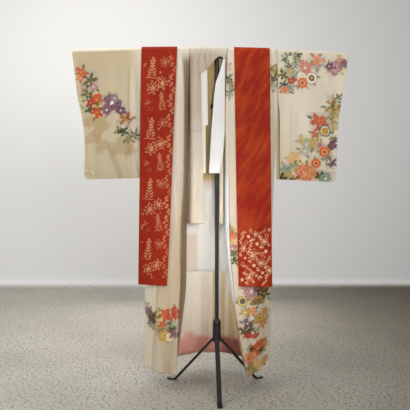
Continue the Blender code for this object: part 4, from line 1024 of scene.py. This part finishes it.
def collarGrid(lift, end):
    # columns run over the left leg, the neck and the right leg; below the neck only the legs are cloth
    shares = {side: np.linspace(0.0, 1.0, collar["legColumns"][side] + 1) for side in ("left", "right")}
    shares["right"] = shares["right"][::-1]
    neckKeys = [row[0] for row in collar["neck"]]
    neckDrops = [row[1] for row in collar["neck"]]
    neckX = np.linspace(neckKeys[0], neckKeys[-1], collar["neckColumns"] + 1)[1:-1]
    neckDrop = easedValues(neckKeys, neckDrops, neckX)
    starts = {"left": neckDrops[0], "right": neckDrops[-1]}
    arcSteps, neckSteps = 15, 22
    grid = []
    for k in range(arcSteps):
        share = collar["startAngle"] / 180.0 * (1.0 - k / arcSteps)
        x = np.concatenate((collarLeg("left", shares["left"], 0.0, 0.0)[:, 0], neckX,
                            collarLeg("right", shares["right"], 0.0, 0.0)[:, 0]))
        grid.append(overBar(x, place["collarDrape"] + lift, share))
    for k in range(neckSteps + 1):
        down = k / neckSteps
        neck = neckDrop * down
        y = collarFace(neck) - lift - creaseLift(collar["creases"], neckX, neck) * smoothStep(0.0, 0.2, down)
        middle = np.stack((neckX, y, barHeightAt(neckX) - neck), axis=-1)
        grid.append(np.concatenate((collarLeg("left", shares["left"], starts["left"] * down, lift), middle,
                                    collarLeg("right", shares["right"], starts["right"] * down, lift))))
    legSteps = round((end - 0.1) / 0.006)
    for k in range(1, legSteps + 1):
        down = {side: starts[side] + (end - starts[side]) * k / legSteps for side in starts}
        middle = np.stack((neckX, np.full(len(neckX), -0.02), barHeightAt(neckX) - down["left"]), axis=-1)
        grid.append(np.concatenate((collarLeg("left", shares["left"], down["left"], lift), middle,
                                    collarLeg("right", shares["right"], down["right"], lift))))
    grid = np.array(grid)
    first = collar["legColumns"]["left"]
    isCloth = np.ones((grid.shape[0] - 1, grid.shape[1] - 1), dtype=bool)
    isCloth[arcSteps + neckSteps:, first:first + collar["neckColumns"]] = False
    return grid, isCloth


def collarShade(grid):
    # painted brown shade along the outer edges, over the upper part of the collar and a little at the pinched neck
    x, drop = seenFromFront(grid)
    dyeAndShade = np.zeros(grid.shape[:2] + (4,))
    edge = np.zeros(grid.shape[1])
    columns = collar["legColumns"]["left"]
    edge[:columns + 1] = smoothStep(0.40, 0.05, np.linspace(0.0, 1.0, columns + 1))
    columns = collar["legColumns"]["right"]
    edge[-columns - 1:] = smoothStep(0.40, 0.05, np.linspace(1.0, 0.0, columns + 1))
    layDyeAndShade(dyeAndShade, collar["shade"], 0.85 * edge * smoothStep(0.0, 0.05, drop))
    layDyeAndShade(dyeAndShade, collar["shade"], 0.34 * smoothStep(0.42, 0.25, drop) * smoothStep(0.0, 0.03, drop))
    pinch = smoothStep(0.10, 0.03, np.hypot(x + 0.03, drop - 0.05))
    pinch = pinch * (0.5 + 0.5 * np.sin(260.0 * x + 70.0 * drop))
    layDyeAndShade(dyeAndShade, collar["shade"], 0.22 * pinch)
    return dyeAndShade


grid, isCloth = collarGrid(0.0, collar["end"])
cloth = [finishes["collar"], finishes["white"]]
pieces["collar"] = clothPiece("collar", grid, cloth, dyeAndShade=collarShade(grid), isCloth=isCloth)
grid, isCloth = collarGrid(collar["overLift"], collar["overEnd"])
dyeAndShade = collarShade(grid)[:, 1:-1]
cloth = [finishes["collar"]]
pieces["over_collar"] = clothPiece("over_collar", grid[:, 1:-1], cloth, thinThickness, dyeAndShade, isCloth[:, 1:-1])
print("collar made")


# linings of the collar: the two edges at each drop, and how far behind the collar's face they hang
collarLining = {
    "left": {
        "rows": ((0.088, -0.0560, -0.0130), (0.160, -0.0540, -0.0115), (0.260, -0.0520, -0.0105),
                 (0.352, -0.0500, -0.0100), (0.357, -0.0500, -0.0215), (0.460, -0.0480, -0.0210),
                 (0.580, -0.0480, -0.0205)),
        "behind": 0.0017, "curl": 0.0012,
    },
    "right": {
        "rows": ((0.044, 0.0620, 0.0705), (0.106, 0.0438, 0.0705), (0.153, 0.0267, 0.0705),
                 (0.215, 0.0187, 0.0705), (0.280, 0.0139, 0.0705), (0.385, 0.0054, 0.0700),
                 (0.470, 0.0015, 0.0640), (0.580, -0.0050, 0.0471)),
        "behind": -0.0035, "curl": 0.0022,
    },
}
reflectedPeach = np.array((0.88, 0.78, 0.62))
for side in ("left", "right"):
    facts = collarLining[side]
    keys = [row[0] for row in facts["rows"]]
    drops = np.linspace(keys[0], keys[-1], 110)
    if side == "left":
        drops = np.unique(np.concatenate((drops, (0.3515, 0.352, 0.357, 0.3575))))
    grid = []
    shares = np.linspace(0.0, 1.0, 13)
    for drop in drops:
        if side == "left" and 0.352 < drop < 0.357:
            continue
        low = np.interp(drop, keys, [row[1] for row in facts["rows"]])
        high = np.interp(drop, keys, [row[2] for row in facts["rows"]])
        x = low + (high - low) * shares
        curl = facts["curl"] * np.sin(math.pi * shares) * min(1.0, drop / 0.2)
        grid.append(hangingRow(x, collarFace(drop) + facts["behind"] - curl, drop))
    grid = np.array(grid)
    dyeAndShade = np.zeros(grid.shape[:2] + (4,))
    # painted peach of warm light reflected onto the left lining, stronger below its step
    if side == "left":
        x, drop = seenFromFront(grid)
        dyeAndShade[:, :, :3] = reflectedPeach
        dyeAndShade[:, :, 3] = 0.35 + 0.40 * smoothStep(0.350, 0.360, drop)
    full = "collar_lining_" + side
    pieces[full] = clothPiece(full, grid, [finishes["white"]], thinThickness, dyeAndShade=dyeAndShade)


# linings of the back: white above, cream below that turns rose at the hem, with painted shadows and shade laid over
# them
backLining = {
    "seamDrop": 1.075, "inside": 0.0019, "firstPlace": 0.22, "roseDrop": 1.405,
    "seamShift": 0.06,
    "rose": (0.86, 0.33, 0.28), "roseInShade": (0.32, 0.08, 0.08), "peach": (0.86, 0.66, 0.46),
    "shadowOchre": (0.50, 0.33, 0.08), "gold": (0.66, 0.45, 0.18), "cream": (0.94, 0.89, 0.78),
    "strip": (0.80, 0.64, 0.48),
    # golden stripes of painted shadow on both sides of the pole: middle, half width, drop where each starts,
    # strength
    "bands": ((0.022, 0.010, 1.00, 0.80), (0.068, 0.012, 1.00, 0.62), (0.112, 0.022, 1.16, 0.70)),
}
for side in ("left", "right"):
    grid, backRows = bodyGrids[side]
    back = grid[-backRows:]
    inside = back + normalsOf(back) * sideSign[side] * backLining["inside"]
    skip = math.ceil(backLining["firstPlace"] / 3.0 * bodyFront["columnsAcross"])
    inside = inside[3:, skip:]
    drop = seenFromFront(inside)[1]
    seam = int(np.argmin(np.abs(drop[:, -1] - backLining["seamDrop"])))
    for name, part in (("upper", inside[:seam + 1]), ("lower", inside[seam:].copy())):
        if name == "lower":
            part[0] += (part[1] - part[0]) * backLining["seamShift"]
        x, drop = seenFromFront(part)
        dyeAndShade = np.zeros(part.shape[:2] + (4,))
        if name == "upper":
            layDyeAndShade(dyeAndShade, backLining["cream"], 0.6 * smoothStep(0.60, 0.66, drop))
            # painted ochre shadow on the upper lining behind the pole, where the collar linings shade it
            shadowBehindPole = 0.92 * smoothStep(0.66, 0.60, drop) * smoothStep(0.075, 0.045, np.abs(x))
            layDyeAndShade(dyeAndShade, backLining["shadowOchre"], shadowBehindPole)
            # painted peach shade in a strip at the lower left of the upper lining
            corner = 0.8 * smoothStep(0.862, 0.868, drop) * smoothStep(-0.060, -0.063, x)
            layDyeAndShade(dyeAndShade, backLining["strip"], corner)
        else:
            # peach over the lower lining: a light even tint, and painted fold shade in soft vertical bands
            waves = smoothStep(0.2, 0.9, np.sin(46.0 * x + 1.5)) * smoothStep(1.10, 1.25, drop)
            layDyeAndShade(dyeAndShade, backLining["peach"], 0.12 + 0.34 * waves)
            for middle, half, top, strength in backLining["bands"]:
                band = smoothStep(half, half * 0.5, np.abs(x - middle)) * smoothStep(top - 0.02, top + 0.02, drop)
                layDyeAndShade(dyeAndShade, backLining["gold"], strength * band)
            uneven = drop + 0.008 * np.sin(44.0 * x) - 0.10 * np.maximum(x, 0.0)
            rose = smoothStep(backLining["roseDrop"], backLining["roseDrop"] + 0.012, uneven)
            layDyeAndShade(dyeAndShade, backLining["rose"], 0.88 * rose)
            # the rose hem darkens to maroon towards the right: painted shade
            roseShadeCover = 0.75 * rose * smoothStep(0.03, 0.09, x + 0.012 * np.sin(150.0 * drop))
            layDyeAndShade(dyeAndShade, backLining["roseInShade"], roseShadeCover)
        finish = finishes["white"] if name == "upper" else finishes["lining"]
        full = "lining_" + name + "_" + side
        rows = np.unique(np.append(np.arange(0, len(part), 2), len(part) - 1))
        pieces[full] = clothPiece(full, part[rows], [finish], thinThickness, dyeAndShade=dyeAndShade[rows])
print("linings made")


# obi: outer and inner edge of each hanging stretch in front, at each drop
obi = {
    "columns": ("drop", "outerX", "outerY", "innerX", "innerY"),
    "left": (
        (0.00, -0.3228, -0.0170, -0.1556, -0.0170), (0.08, -0.3240, -0.0240, -0.1580, -0.0290),
        (0.30, -0.3280, -0.0300, -0.1680, -0.0410), (0.60, -0.3330, -0.0300, -0.1800, -0.0490),
        (0.84, -0.3380, -0.0260, -0.1900, -0.0540), (1.12, -0.3444, -0.0060, -0.2043, -0.0620),
    ),
    "right": (
        (0.00, 0.2805, -0.0170, 0.1133, -0.0170), (0.08, 0.2815, -0.0240, 0.1145, -0.0285),
        (0.30, 0.2840, -0.0320, 0.1180, -0.0400), (0.60, 0.2880, -0.0370, 0.1230, -0.0460),
        (0.84, 0.2910, -0.0390, 0.1280, -0.0520), (1.12, 0.2960, -0.0390, 0.1343, -0.0610),
    ),
    "width": 0.167, "thickness": 0.0026, "frontEnd": 1.112, "loopDrop": 0.70, "shift": 0.010, "reach": 0.030,
    "layer": 0.0051, "columnsAcross": 64,
    "creases": {
        "left": ((-0.290, 0.05, -0.296, 0.60, 0.0070, 0.0010), (-0.200, 0.30, -0.212, 0.95, 0.0080, 0.0010),
                 (-0.180, 0.04, -0.260, 0.22, 0.0050, 0.0008)),
        "right": ((0.250, 0.20, 0.165, 0.46, 0.0080, 0.0016), (0.262, 0.34, 0.190, 0.66, 0.0090, 0.0016),
                  (0.225, 0.46, 0.150, 0.74, 0.0080, 0.0014), (0.245, 0.05, 0.215, 0.34, 0.0070, -0.0014),
                  (0.275, 0.52, 0.215, 0.86, 0.0080, -0.0014), (0.150, 0.30, 0.215, 0.56, 0.0070, 0.0010),
                  (0.180, 0.62, 0.240, 0.84, 0.0080, 0.0012)),
    },
}
goldThread = {"left": (0.80, 0.47, 0.24), "right": (0.92, 0.62, 0.36)}


def sprigLeaves(kind, across, drop, size, turn):
    # leaves of one woven sprig: middle, direction, length, half width; the sprig grows upwards
    leaves = []

    def leaf(u, v, angle, length, half):
        a = math.radians(turn)
        middleU = across + (u * math.cos(a) - v * math.sin(a)) * size
        middleV = drop + (u * math.sin(a) + v * math.cos(a)) * size
        leaves.append((middleU, middleV, math.radians(angle) + a, length * size, half * size))

    def leafAround(reach, a, angle, length, half):
        # a leaf at a distance from the sprig's middle, in the direction a
        leaf(reach * math.cos(math.radians(a)), reach * math.sin(math.radians(a)), angle, length, half)

    if kind == "plant":
        for k in range(6):
            up = 0.78 - 0.29 * k
            reach = 0.20 + 0.10 * math.sin(1.3 + 0.9 * k)
            leaf(-reach, up, 218.0, 0.40, 0.062)
            leaf(reach, up - 0.06, -38.0, 0.40, 0.062)
        leaf(0.0, -0.95, -90.0, 0.40, 0.085)
        leaf(0.0, 0.05, 90.0, 1.8, 0.030)
        leaf(0.0, 1.02, 0.0, 1.5, 0.028)
    elif kind == "bouquet":
        for k in range(16):
            a = 137.5 * k
            reach = 0.92 * math.sqrt((k + 0.5) / 16.0)
            leafAround(reach, a, a + 30.0 * (-1) ** k, 0.42, 0.075)
        for k in range(5):
            leaf(0.2 * math.cos(1.257 * k), 0.2 * math.sin(1.257 * k), 72.0 * k, 0.32, 0.12)
        leaf(0.05, 0.55, 80.0, 1.0, 0.028)
    elif kind == "vine":
        for k in range(9):
            along = -0.95 + 0.24 * k
            lean = 0.22 * math.sin(3.0 * along)
            sideTurn = 1.0 if k % 2 else -1.0
            leaf(lean + 0.15 * sideTurn, along, 90.0 - 58.0 * sideTurn, 0.34, 0.075)
            leaf(lean, along, 90.0 + 30.0 * math.cos(3.0 * along), 0.30, 0.028)
    elif kind == "blossom":
        for k in range(5):
            a = 72.0 * k + 18.0
            leafAround(0.42, a, a, 0.66, 0.27)
    elif kind == "pair":
        leaf(-0.4, 0.0, 200.0, 0.9, 0.17)
        leaf(0.4, -0.1, -25.0, 0.9, 0.17)
        leaf(0.0, -0.5, -80.0, 0.8, 0.15)
    elif kind == "curl":
        for k in range(8):
            a = 40.0 * k
            leaf(0.6 * math.cos(math.radians(a)), 0.6 * math.sin(math.radians(a)) * 0.8, a + 90.0, 0.44, 0.07)
    return leaves


def wovenGold(shape, across, drop, sprigs, gold):
    dyeAndShade = np.zeros(shape + (4,))
    dyeAndShade[:, :, :3] = gold
    for kind, u, v, size, turn, tone in sprigs:
        near = (np.abs(across - u) < size * 1.6) & (np.abs(drop - v) < size * 1.6)
        if not near.any():
            continue
        cover = np.zeros(int(near.sum()))
        for middleU, middleV, angle, length, half in sprigLeaves(kind, u, v, size, turn):
            s = (across[near] - middleU) * math.cos(angle) + (drop[near] - middleV) * math.sin(angle)
            t = -(across[near] - middleU) * math.sin(angle) + (drop[near] - middleV) * math.cos(angle)
            edge = half * (1.0 - (2.0 * s / length) ** 2) - np.abs(t)
            cover = np.maximum(cover, smoothStep(-0.0009, 0.0009, edge) * (np.abs(s) < length / 2.0))
        dyeAndShade[near, 3] = np.maximum(dyeAndShade[near, 3], cover * tone)
    return dyeAndShade


# woven sprigs: kind, distance from the outer edge, drop, size, turn, strength of the gold
def leftSprigs():
    chance = np.random.default_rng(11)
    rows = []
    repeat = 0.285
    for k in range(4):
        start = 0.03 + repeat * k
        rows.append(("plant", 0.054, start + 0.055, 0.046, 4.0, 0.60))
        rows.append(("bouquet", 0.112, start + 0.030, 0.026, 40.0 * k, 0.38))
        rows.append(("bouquet", 0.058, start + 0.150, 0.034, 25.0 * k, 0.52))
        rows.append(("bouquet", 0.104, start + 0.128, 0.030, 70.0 * k, 0.62))
        rows.append(("plant", 0.104, start + 0.212, 0.038, -8.0, 0.50))
        rows.append(("pair", 0.036, start + 0.222, 0.020, -12.0, 0.30))
        rows.append(("curl", 0.052, start + 0.248, 0.014, 0.0, 0.28))
        for j in range(3):
            tone = 0.32 + 0.26 * chance.random()
            rows.append(("vine", 0.149, start + 0.045 + 0.095 * j, 0.045, 5.0 * (j - 1), tone))
        for j in range(7):
            kind = ("blossom", "pair", "blossom")[j % 3]
            across = 0.014 + 0.118 * chance.random()
            drop = start + repeat * chance.random()
            rows.append((kind, across, drop, 0.0085, 360.0 * chance.random(), 0.34))
    return [row for row in rows if row[2] < obi["frontEnd"] - 0.02]


def rightSprigs():
    chance = np.random.default_rng(5)
    rows = []
    sprigCount, firstDrop, span = 46, 0.838, 0.262
    for k in range(sprigCount):
        drop = firstDrop + span * (k + 0.5) / sprigCount
        across = 0.012 + 0.143 * ((k * 0.618) % 1.0)
        kind = ("blossom", "pair", "vine", "pair", "bouquet", "curl")[k % 6]
        size = {"blossom": 0.0105, "pair": 0.013, "vine": 0.024, "bouquet": 0.019, "curl": 0.012}[kind]
        size = size * (0.8 + 0.5 * chance.random())
        grown = min(1.0, 0.45 + (drop - firstDrop) / 0.06)
        rows.append((kind, across, drop, size, 360.0 * chance.random(), 0.95 * grown))
    return rows


def backPanelY(x, drop):
    # depth of the back at x, read along its section
    y = np.zeros(np.shape(x))
    for side in ("left", "right"):
        places = np.linspace(0.0, 3.0, 49)
        lineX, lineY = backLine(side, places, drop)
        order = np.argsort(lineX)
        own = (x < 0.0) if side == "left" else (x >= 0.0)
        y[own] = np.interp(x[own], lineX[order], lineY[order])
    return y


def obiBackY(x, drop):
    low = max(drop, 0.006)
    follow = np.max([backPanelY(x + obi["reach"] * k / 3.0, low) for k in range(-3, 4)], axis=0)
    spare = 0.0012 * min(1.0, drop / 0.1)
    return np.maximum(place["obiDrape"], follow + 0.0028 + spare)


obiZones = {"left": ((0.0, 0.0029),), "right": ((0.0, 0.008), (0.81, 0.0023))}
for side in ("left", "right"):
    sign = sideSign[side]
    shares = np.linspace(0.0, 1.0, obi["columnsAcross"] + 1)
    frontDrops = dropsBetween((*obiZones[side], (obi["frontEnd"], 0.0)))[1:]
    grid = []
    for drop in reversed(frontDrops):
        row = rowAt(obi["columns"], obi[side], drop)
        x = row["outerX"] + (row["innerX"] - row["outerX"]) * shares
        y = row["outerY"] + (row["innerY"] - row["outerY"]) * shares
        fade = smoothStep(0.0, 0.1, shares) * smoothStep(1.0, 0.9, shares)
        y = y - creaseLift(obi["creases"][side], x, np.full(len(x), drop)) * fade
        grid.append(hangingRow(x, y, drop))
    top = rowAt(obi["columns"], obi[side], 0.0)
    topX = top["outerX"] + (top["innerX"] - top["outerX"]) * shares
    grid += [overBar(topX, place["obiDrape"], share) for share in arcShares]
    for down in np.linspace(0.012, 1.0, 46):
        drops = down * (obi["loopDrop"] + obi["width"] * shares)
        x = topX - sign * obi["shift"] * np.minimum(1.0, drops / 0.08)
        y = np.array([obiBackY(np.array((x[k],)), drops[k])[0] for k in range(0, len(x), 4)])
        y = np.interp(x * -sign, x[::4] * -sign, y)
        grid.append(np.stack((x, y, barHeightAt(x) - drops), axis=-1))
    grid = np.array(grid)
    frontRows = len(frontDrops)
    across = np.broadcast_to(shares * obi["width"], (frontRows, len(shares)))
    drop = seenFromFront(grid[:frontRows])[1]
    dyeAndShade = np.zeros(grid.shape[:2] + (4,))
    sprigs = leftSprigs() if side == "left" else rightSprigs()
    dyeAndShade[:frontRows] = wovenGold((frontRows, len(shares)), across, drop, sprigs, goldThread[side])
    finish = finishes["obiLeft" if side == "left" else "obiRight"]
    pieces["obi_" + side] = clothPiece("obi_" + side, grid, [finish], obi["thickness"], dyeAndShade=dyeAndShade)

# the stretch of the obi that crosses the back, its ends slanting where it folds
grid = []
for down in np.linspace(0.0, 1.0, 17):
    left, right = obi["left"][0], obi["right"][0]
    start = left[1] + (left[3] - left[1]) * down + obi["shift"]
    stop = right[1] + (right[3] - right[1]) * down - obi["shift"]
    drop = obi["loopDrop"] + obi["width"] * down
    x = np.linspace(start, stop, 91)
    sag = 0.0010 * np.sin(9.0 * x + 3.0 * down)
    grid.append(hangingRow(x, obiBackY(x, drop) + obi["layer"] + np.maximum(sag, 0.0), drop))
pieces["obi_back"] = clothPiece("obi_back", np.array(grid), [finishes["obiLeft"]], obi["thickness"])
print("obi made")


# running stitches: short threads laid along a path by geometry nodes
thread = {"length": 0.0030, "radius": 0.00028, "spacing": 0.0068, "lift": 0.0009, "colour": (0.62, 0.56, 0.46)}


def stitchTree(finish):
    tree = bpy.data.node_groups.new("stitches", "GeometryNodeTree")
    tree.interface.new_socket("Path", in_out="INPUT", socket_type="NodeSocketGeometry")
    for label, value in (("Spacing", thread["spacing"]), ("Length", thread["length"]), ("Radius", thread["radius"])):
        tree.interface.new_socket(label, in_out="INPUT", socket_type="NodeSocketFloat").default_value = value
    tree.interface.new_socket("Stitches", in_out="OUTPUT", socket_type="NodeSocketGeometry")
    nodes, links = tree.nodes, tree.links
    given = nodes.new("NodeGroupInput")
    result = nodes.new("NodeGroupOutput")
    toCurve = nodes.new("GeometryNodeMeshToCurve")
    resample = nodes.new("GeometryNodeResampleCurve")
    resample.mode = "LENGTH"
    bead = nodes.new("GeometryNodeMeshCylinder")
    bead.inputs["Vertices"].default_value = 6
    alignment = nodes.new("FunctionNodeAlignEulerToVector")
    alignment.axis = "Z"
    tangent = nodes.new("GeometryNodeInputTangent")
    threads = nodes.new("GeometryNodeInstanceOnPoints")
    realize = nodes.new("GeometryNodeRealizeInstances")
    painted = nodes.new("GeometryNodeSetMaterial")
    painted.inputs["Material"].default_value = finish
    links.new(given.outputs["Path"], toCurve.inputs["Mesh"])
    links.new(toCurve.outputs["Curve"], resample.inputs["Curve"])
    links.new(given.outputs["Spacing"], resample.inputs["Length"])
    links.new(given.outputs["Radius"], bead.inputs["Radius"])
    links.new(given.outputs["Length"], bead.inputs["Depth"])
    links.new(tangent.outputs["Tangent"], alignment.inputs["Vector"])
    links.new(resample.outputs["Curve"], threads.inputs["Points"])
    links.new(bead.outputs["Mesh"], threads.inputs["Instance"])
    links.new(alignment.outputs["Rotation"], threads.inputs["Rotation"])
    links.new(threads.outputs["Instances"], realize.inputs["Geometry"])
    links.new(realize.outputs["Geometry"], painted.inputs["Geometry"])
    links.new(painted.outputs["Geometry"], result.inputs["Stitches"])
    return tree


def sewAlong(name, path, tree):
    # path: points in the frame, before the pole's offset is added
    points = np.array(path, dtype=float)
    points[:, 1] += place["poleY"]
    mesh = bpy.data.meshes.new(name + "_path")
    mesh.from_pydata(points.tolist(), [(k, k + 1) for k in range(len(points) - 1)], [])
    guide = bpy.data.objects.new(name + "_path", mesh)
    bpy.context.scene.collection.objects.link(guide)
    sewing = guide.modifiers.new("stitches", "NODES")
    sewing.node_group = tree
    for socket in tree.interface.items_tree:
        if socket.in_out == "INPUT" and socket.name in ("Spacing", "Length", "Radius"):
            sewing[socket.identifier] = socket.default_value
    bpy.context.view_layer.update()
    evaluated = guide.evaluated_get(bpy.context.evaluated_depsgraph_get())
    stitches = bpy.data.objects.new(name, bpy.data.meshes.new_from_object(evaluated))
    bpy.context.scene.collection.objects.link(stitches)
    bpy.data.objects.remove(guide)
    return stitches


threadFinish, _, _, threadShader = startMaterial("sewing_thread")
threadShader.inputs["Base Color"].default_value = (*thread["colour"], 1.0)
threadShader.inputs["Roughness"].default_value = 0.6
tree = stitchTree(threadFinish)
sewn = {}
for side in ("left", "right"):
    # along the seam between the two linings of the back
    seamDrop = backLining["seamDrop"] + 0.004
    x, y = backLine(side, np.linspace(0.5, 2.96, 60), seamDrop)
    hidden = backLining["inside"] + thread["lift"]
    line = hangingRow(x, y - hidden, seamDrop)
    sewn["lining_stitches_" + side] = sewAlong("lining_stitches_" + side, line, tree)
    # along the seam between the front and its overlap
    seamDrops = np.linspace(0.42, 1.50, 90)
    seamLine = []
    for drop in seamDrops:
        at = overlapStart(drop) - 3.0 * seamStep(side, overlapStart(drop), drop)
        x, y = frontLine(side, np.array((at,)), drop)
        seamLine.append(hangingRow(x, y - thread["lift"], drop)[0])
    sewn["overlap_stitches_" + side] = sewAlong("overlap_stitches_" + side, seamLine, tree)
    # across the collar, where the cover over it ends
    lift = collar["overLift"] + thread["lift"]
    line = collarLeg(side, np.linspace(0.36, 0.96, 12), collar["overEnd"] - 0.004, lift)
    sewn["collar_stitches_" + side] = sewAlong("collar_stitches_" + side, line, tree)
print("stitches made")


# black steel of the stand, on the frame's own solids
steel, nodes, links, shader = startMaterial("black_steel")
coordinates = nodes.new("ShaderNodeTexCoord")
speck = noiseNode(nodes, links, coordinates.outputs["Object"], 260.0, 3.0)
wear = nodes.new("ShaderNodeMapRange")
wear.inputs["To Min"].default_value = 0.34
wear.inputs["To Max"].default_value = 0.52
links.new(speck, wear.inputs["Value"])
links.new(wear.outputs["Result"], shader.inputs["Roughness"])
steelColour = mixColours(nodes, links, speck, (0.006, 0.006, 0.006), (0.013, 0.012, 0.012))
links.new(steelColour, shader.inputs["Base Color"])
shader.inputs["Specular IOR Level"].default_value = 0.35
for name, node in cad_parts.items():
    if name.startswith("stand_"):
        for holder in node.material_slots:
            holder.material = steel


# floor and wall of the studio
studio = {"half": 4.5, "front": -4.0, "wall": 2.7, "bend": 0.10, "height": 4.2}
profile = [(studio["front"], 0.0)]
for k in range(9):
    a = math.pi / 2.0 * k / 8.0
    y = studio["wall"] - studio["bend"] + studio["bend"] * math.sin(a)
    profile.append((y, studio["bend"] * (1.0 - math.cos(a))))
profile.append((studio["wall"], studio["height"]))
corners = [(x, y, z) for y, z in profile for x in (-studio["half"], studio["half"])]
mesh = bpy.data.meshes.new("studio")
mesh.from_pydata(corners, [], [(2 * k, 2 * k + 1, 2 * k + 3, 2 * k + 2) for k in range(len(profile) - 1)])
mesh.shade_smooth()
studioFloor = bpy.data.objects.new("studio", mesh)
bpy.context.scene.collection.objects.link(studioFloor)
plaster, nodes, links, shader = startMaterial("studio_paint")
coordinates = nodes.new("ShaderNodeTexCoord")
height = nodes.new("ShaderNodeSeparateXYZ")
links.new(coordinates.outputs["Object"], height.inputs["Vector"])
isWall = rampNode(nodes, links, height.outputs["Z"], 0.0, 0.05)
grain = rampNode(nodes, links, noiseNode(nodes, links, coordinates.outputs["Object"], 70.0, 4.0), 0.52, 0.64)
cloudy = rampNode(nodes, links, noiseNode(nodes, links, coordinates.outputs["Object"], 2.2, 3.0), 0.3, 0.7)
ground = mixColours(nodes, links, cloudy, (0.42, 0.40, 0.345), (0.48, 0.46, 0.40))
ground = mixColours(nodes, links, grain, ground, (0.22, 0.205, 0.175))
paint = mixColours(nodes, links, isWall, ground, (0.80, 0.80, 0.79))
shadedSide = rampNode(nodes, links, height.outputs["X"], -0.9, 2.2)
shaded = mixColours(nodes, links, isWall, (0.30, 0.27, 0.225), (1.0, 1.0, 1.0))
dimmed = mixColours(nodes, links, 1.0, paint, shaded, "MULTIPLY")
links.new(mixColours(nodes, links, shadedSide, paint, dimmed), shader.inputs["Base Color"])
shader.inputs["Roughness"].default_value = 0.75
shader.inputs["Specular IOR Level"].default_value = 0.2
mesh.materials.append(plaster)


# light: a soft one from the left, one beside the camera, others above, behind and on the wall, and a weak
# narrow one into the open front; each has where it stands and faces, width and height, spread, watts
lamps = {
    "key": ((-2.8, -1.9, 2.1), (0.0, 0.0, 0.9), (1.1, 1.1), 180.0, 46.0),
    "front": ((0.9, -3.4, 1.8), (0.0, 0.2, 0.9), (1.2, 1.2), 180.0, 64.0),
    "top": ((-0.5, 0.0, 3.9), (-0.2, 0.4, 0.0), (2.0, 2.0), 180.0, 26.0),
    "wall": ((-1.3, 0.4, 2.9), (-0.9, 2.7, 0.8), (2.6, 1.6), 150.0, 30.0),
    "behind": ((0.0, 1.9, 1.2), (0.0, 0.0, 0.8), (1.6, 1.6), 180.0, 16.0),
    "inside": ((0.02, -3.0, 0.70), (-0.01, 0.0, 0.66), (0.1, 0.8), 12.0, 0.46),
}
lampColour = (1.0, 0.98, 0.95)
for name, (stand, target, size, spread, watts) in lamps.items():
    data = bpy.data.lights.new(name, "AREA")
    data.shape = "RECTANGLE"
    data.size, data.size_y = size
    data.spread = math.radians(spread)
    data.energy = watts
    data.color = lampColour
    light = bpy.data.objects.new(name, data)
    bpy.context.scene.collection.objects.link(light)
    light.visible_camera = False
    light.location = stand
    way = [t - s for s, t in zip(stand, target)]
    light.rotation_euler = (math.acos(-way[2] / math.sqrt(sum(c * c for c in way))), 0.0,
                            math.atan2(way[1], way[0]) - math.pi / 2.0)
world = bpy.data.worlds.new("studio_air")
world.use_nodes = True
world.node_tree.nodes["Background"].inputs["Color"].default_value = (0.93, 0.95, 1.0, 1.0)
world.node_tree.nodes["Background"].inputs["Strength"].default_value = 0.26
bpy.context.scene.world = world
bpy.context.scene.view_settings.view_transform = "Standard"
print("stand, studio and light made")


# the cloth pieces as flat cuts: width, length, how each is held and what it lies on
cuts = {
    "body_left": ((0.31, 3.00), "hung", "stand_crossbar", "cream_silk"),
    "body_right": ((0.31, 3.00), "hung", "stand_crossbar", "cream_silk"),
    "okumi_left": ((0.075, 1.29), "hung", "body_left", "cream_silk"),
    "okumi_right": ((0.09, 1.29), "hung", "body_right", "cream_silk"),
    "sleeve_left": ((0.32, 1.25), "hung", "stand_crossbar", "cream_silk"),
    "sleeve_right": ((0.32, 1.25), "hung", "stand_crossbar", "cream_silk"),
    "collar": ((0.075, 1.85), "hung", "stand_crossbar", "collar_silk"),
    "over_collar": ((0.06, 0.95), "laid", "collar", "collar_silk"),
    "collar_lining_left": ((0.04, 0.50), "hung", "collar", "white_silk"),
    "collar_lining_right": ((0.06, 0.54), "hung", "collar", "white_silk"),
    "lining_upper_left": ((0.28, 1.06), "hung", "body_left", "white_silk"),
    "lining_upper_right": ((0.28, 1.06), "hung", "body_right", "white_silk"),
    "lining_lower_left": ((0.28, 0.46), "hung", "body_left", "tinted_lining"),
    "lining_lower_right": ((0.28, 0.46), "hung", "body_right", "tinted_lining"),
    "obi_left": ((0.167, 1.94), "draped", "stand_crossbar", "obi_brocade"),
    "obi_right": ((0.167, 1.94), "draped", "stand_crossbar", "obi_brocade"),
    "obi_back": ((0.167, 0.45), "folded", "obi_left", "obi_brocade"),
}
for name, (flat, held, under, finish) in cuts.items():
    piece = pieces[name]
    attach(piece, "root")
    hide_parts(name)
for stitches in sewn.values():
    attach(stitches, "root")
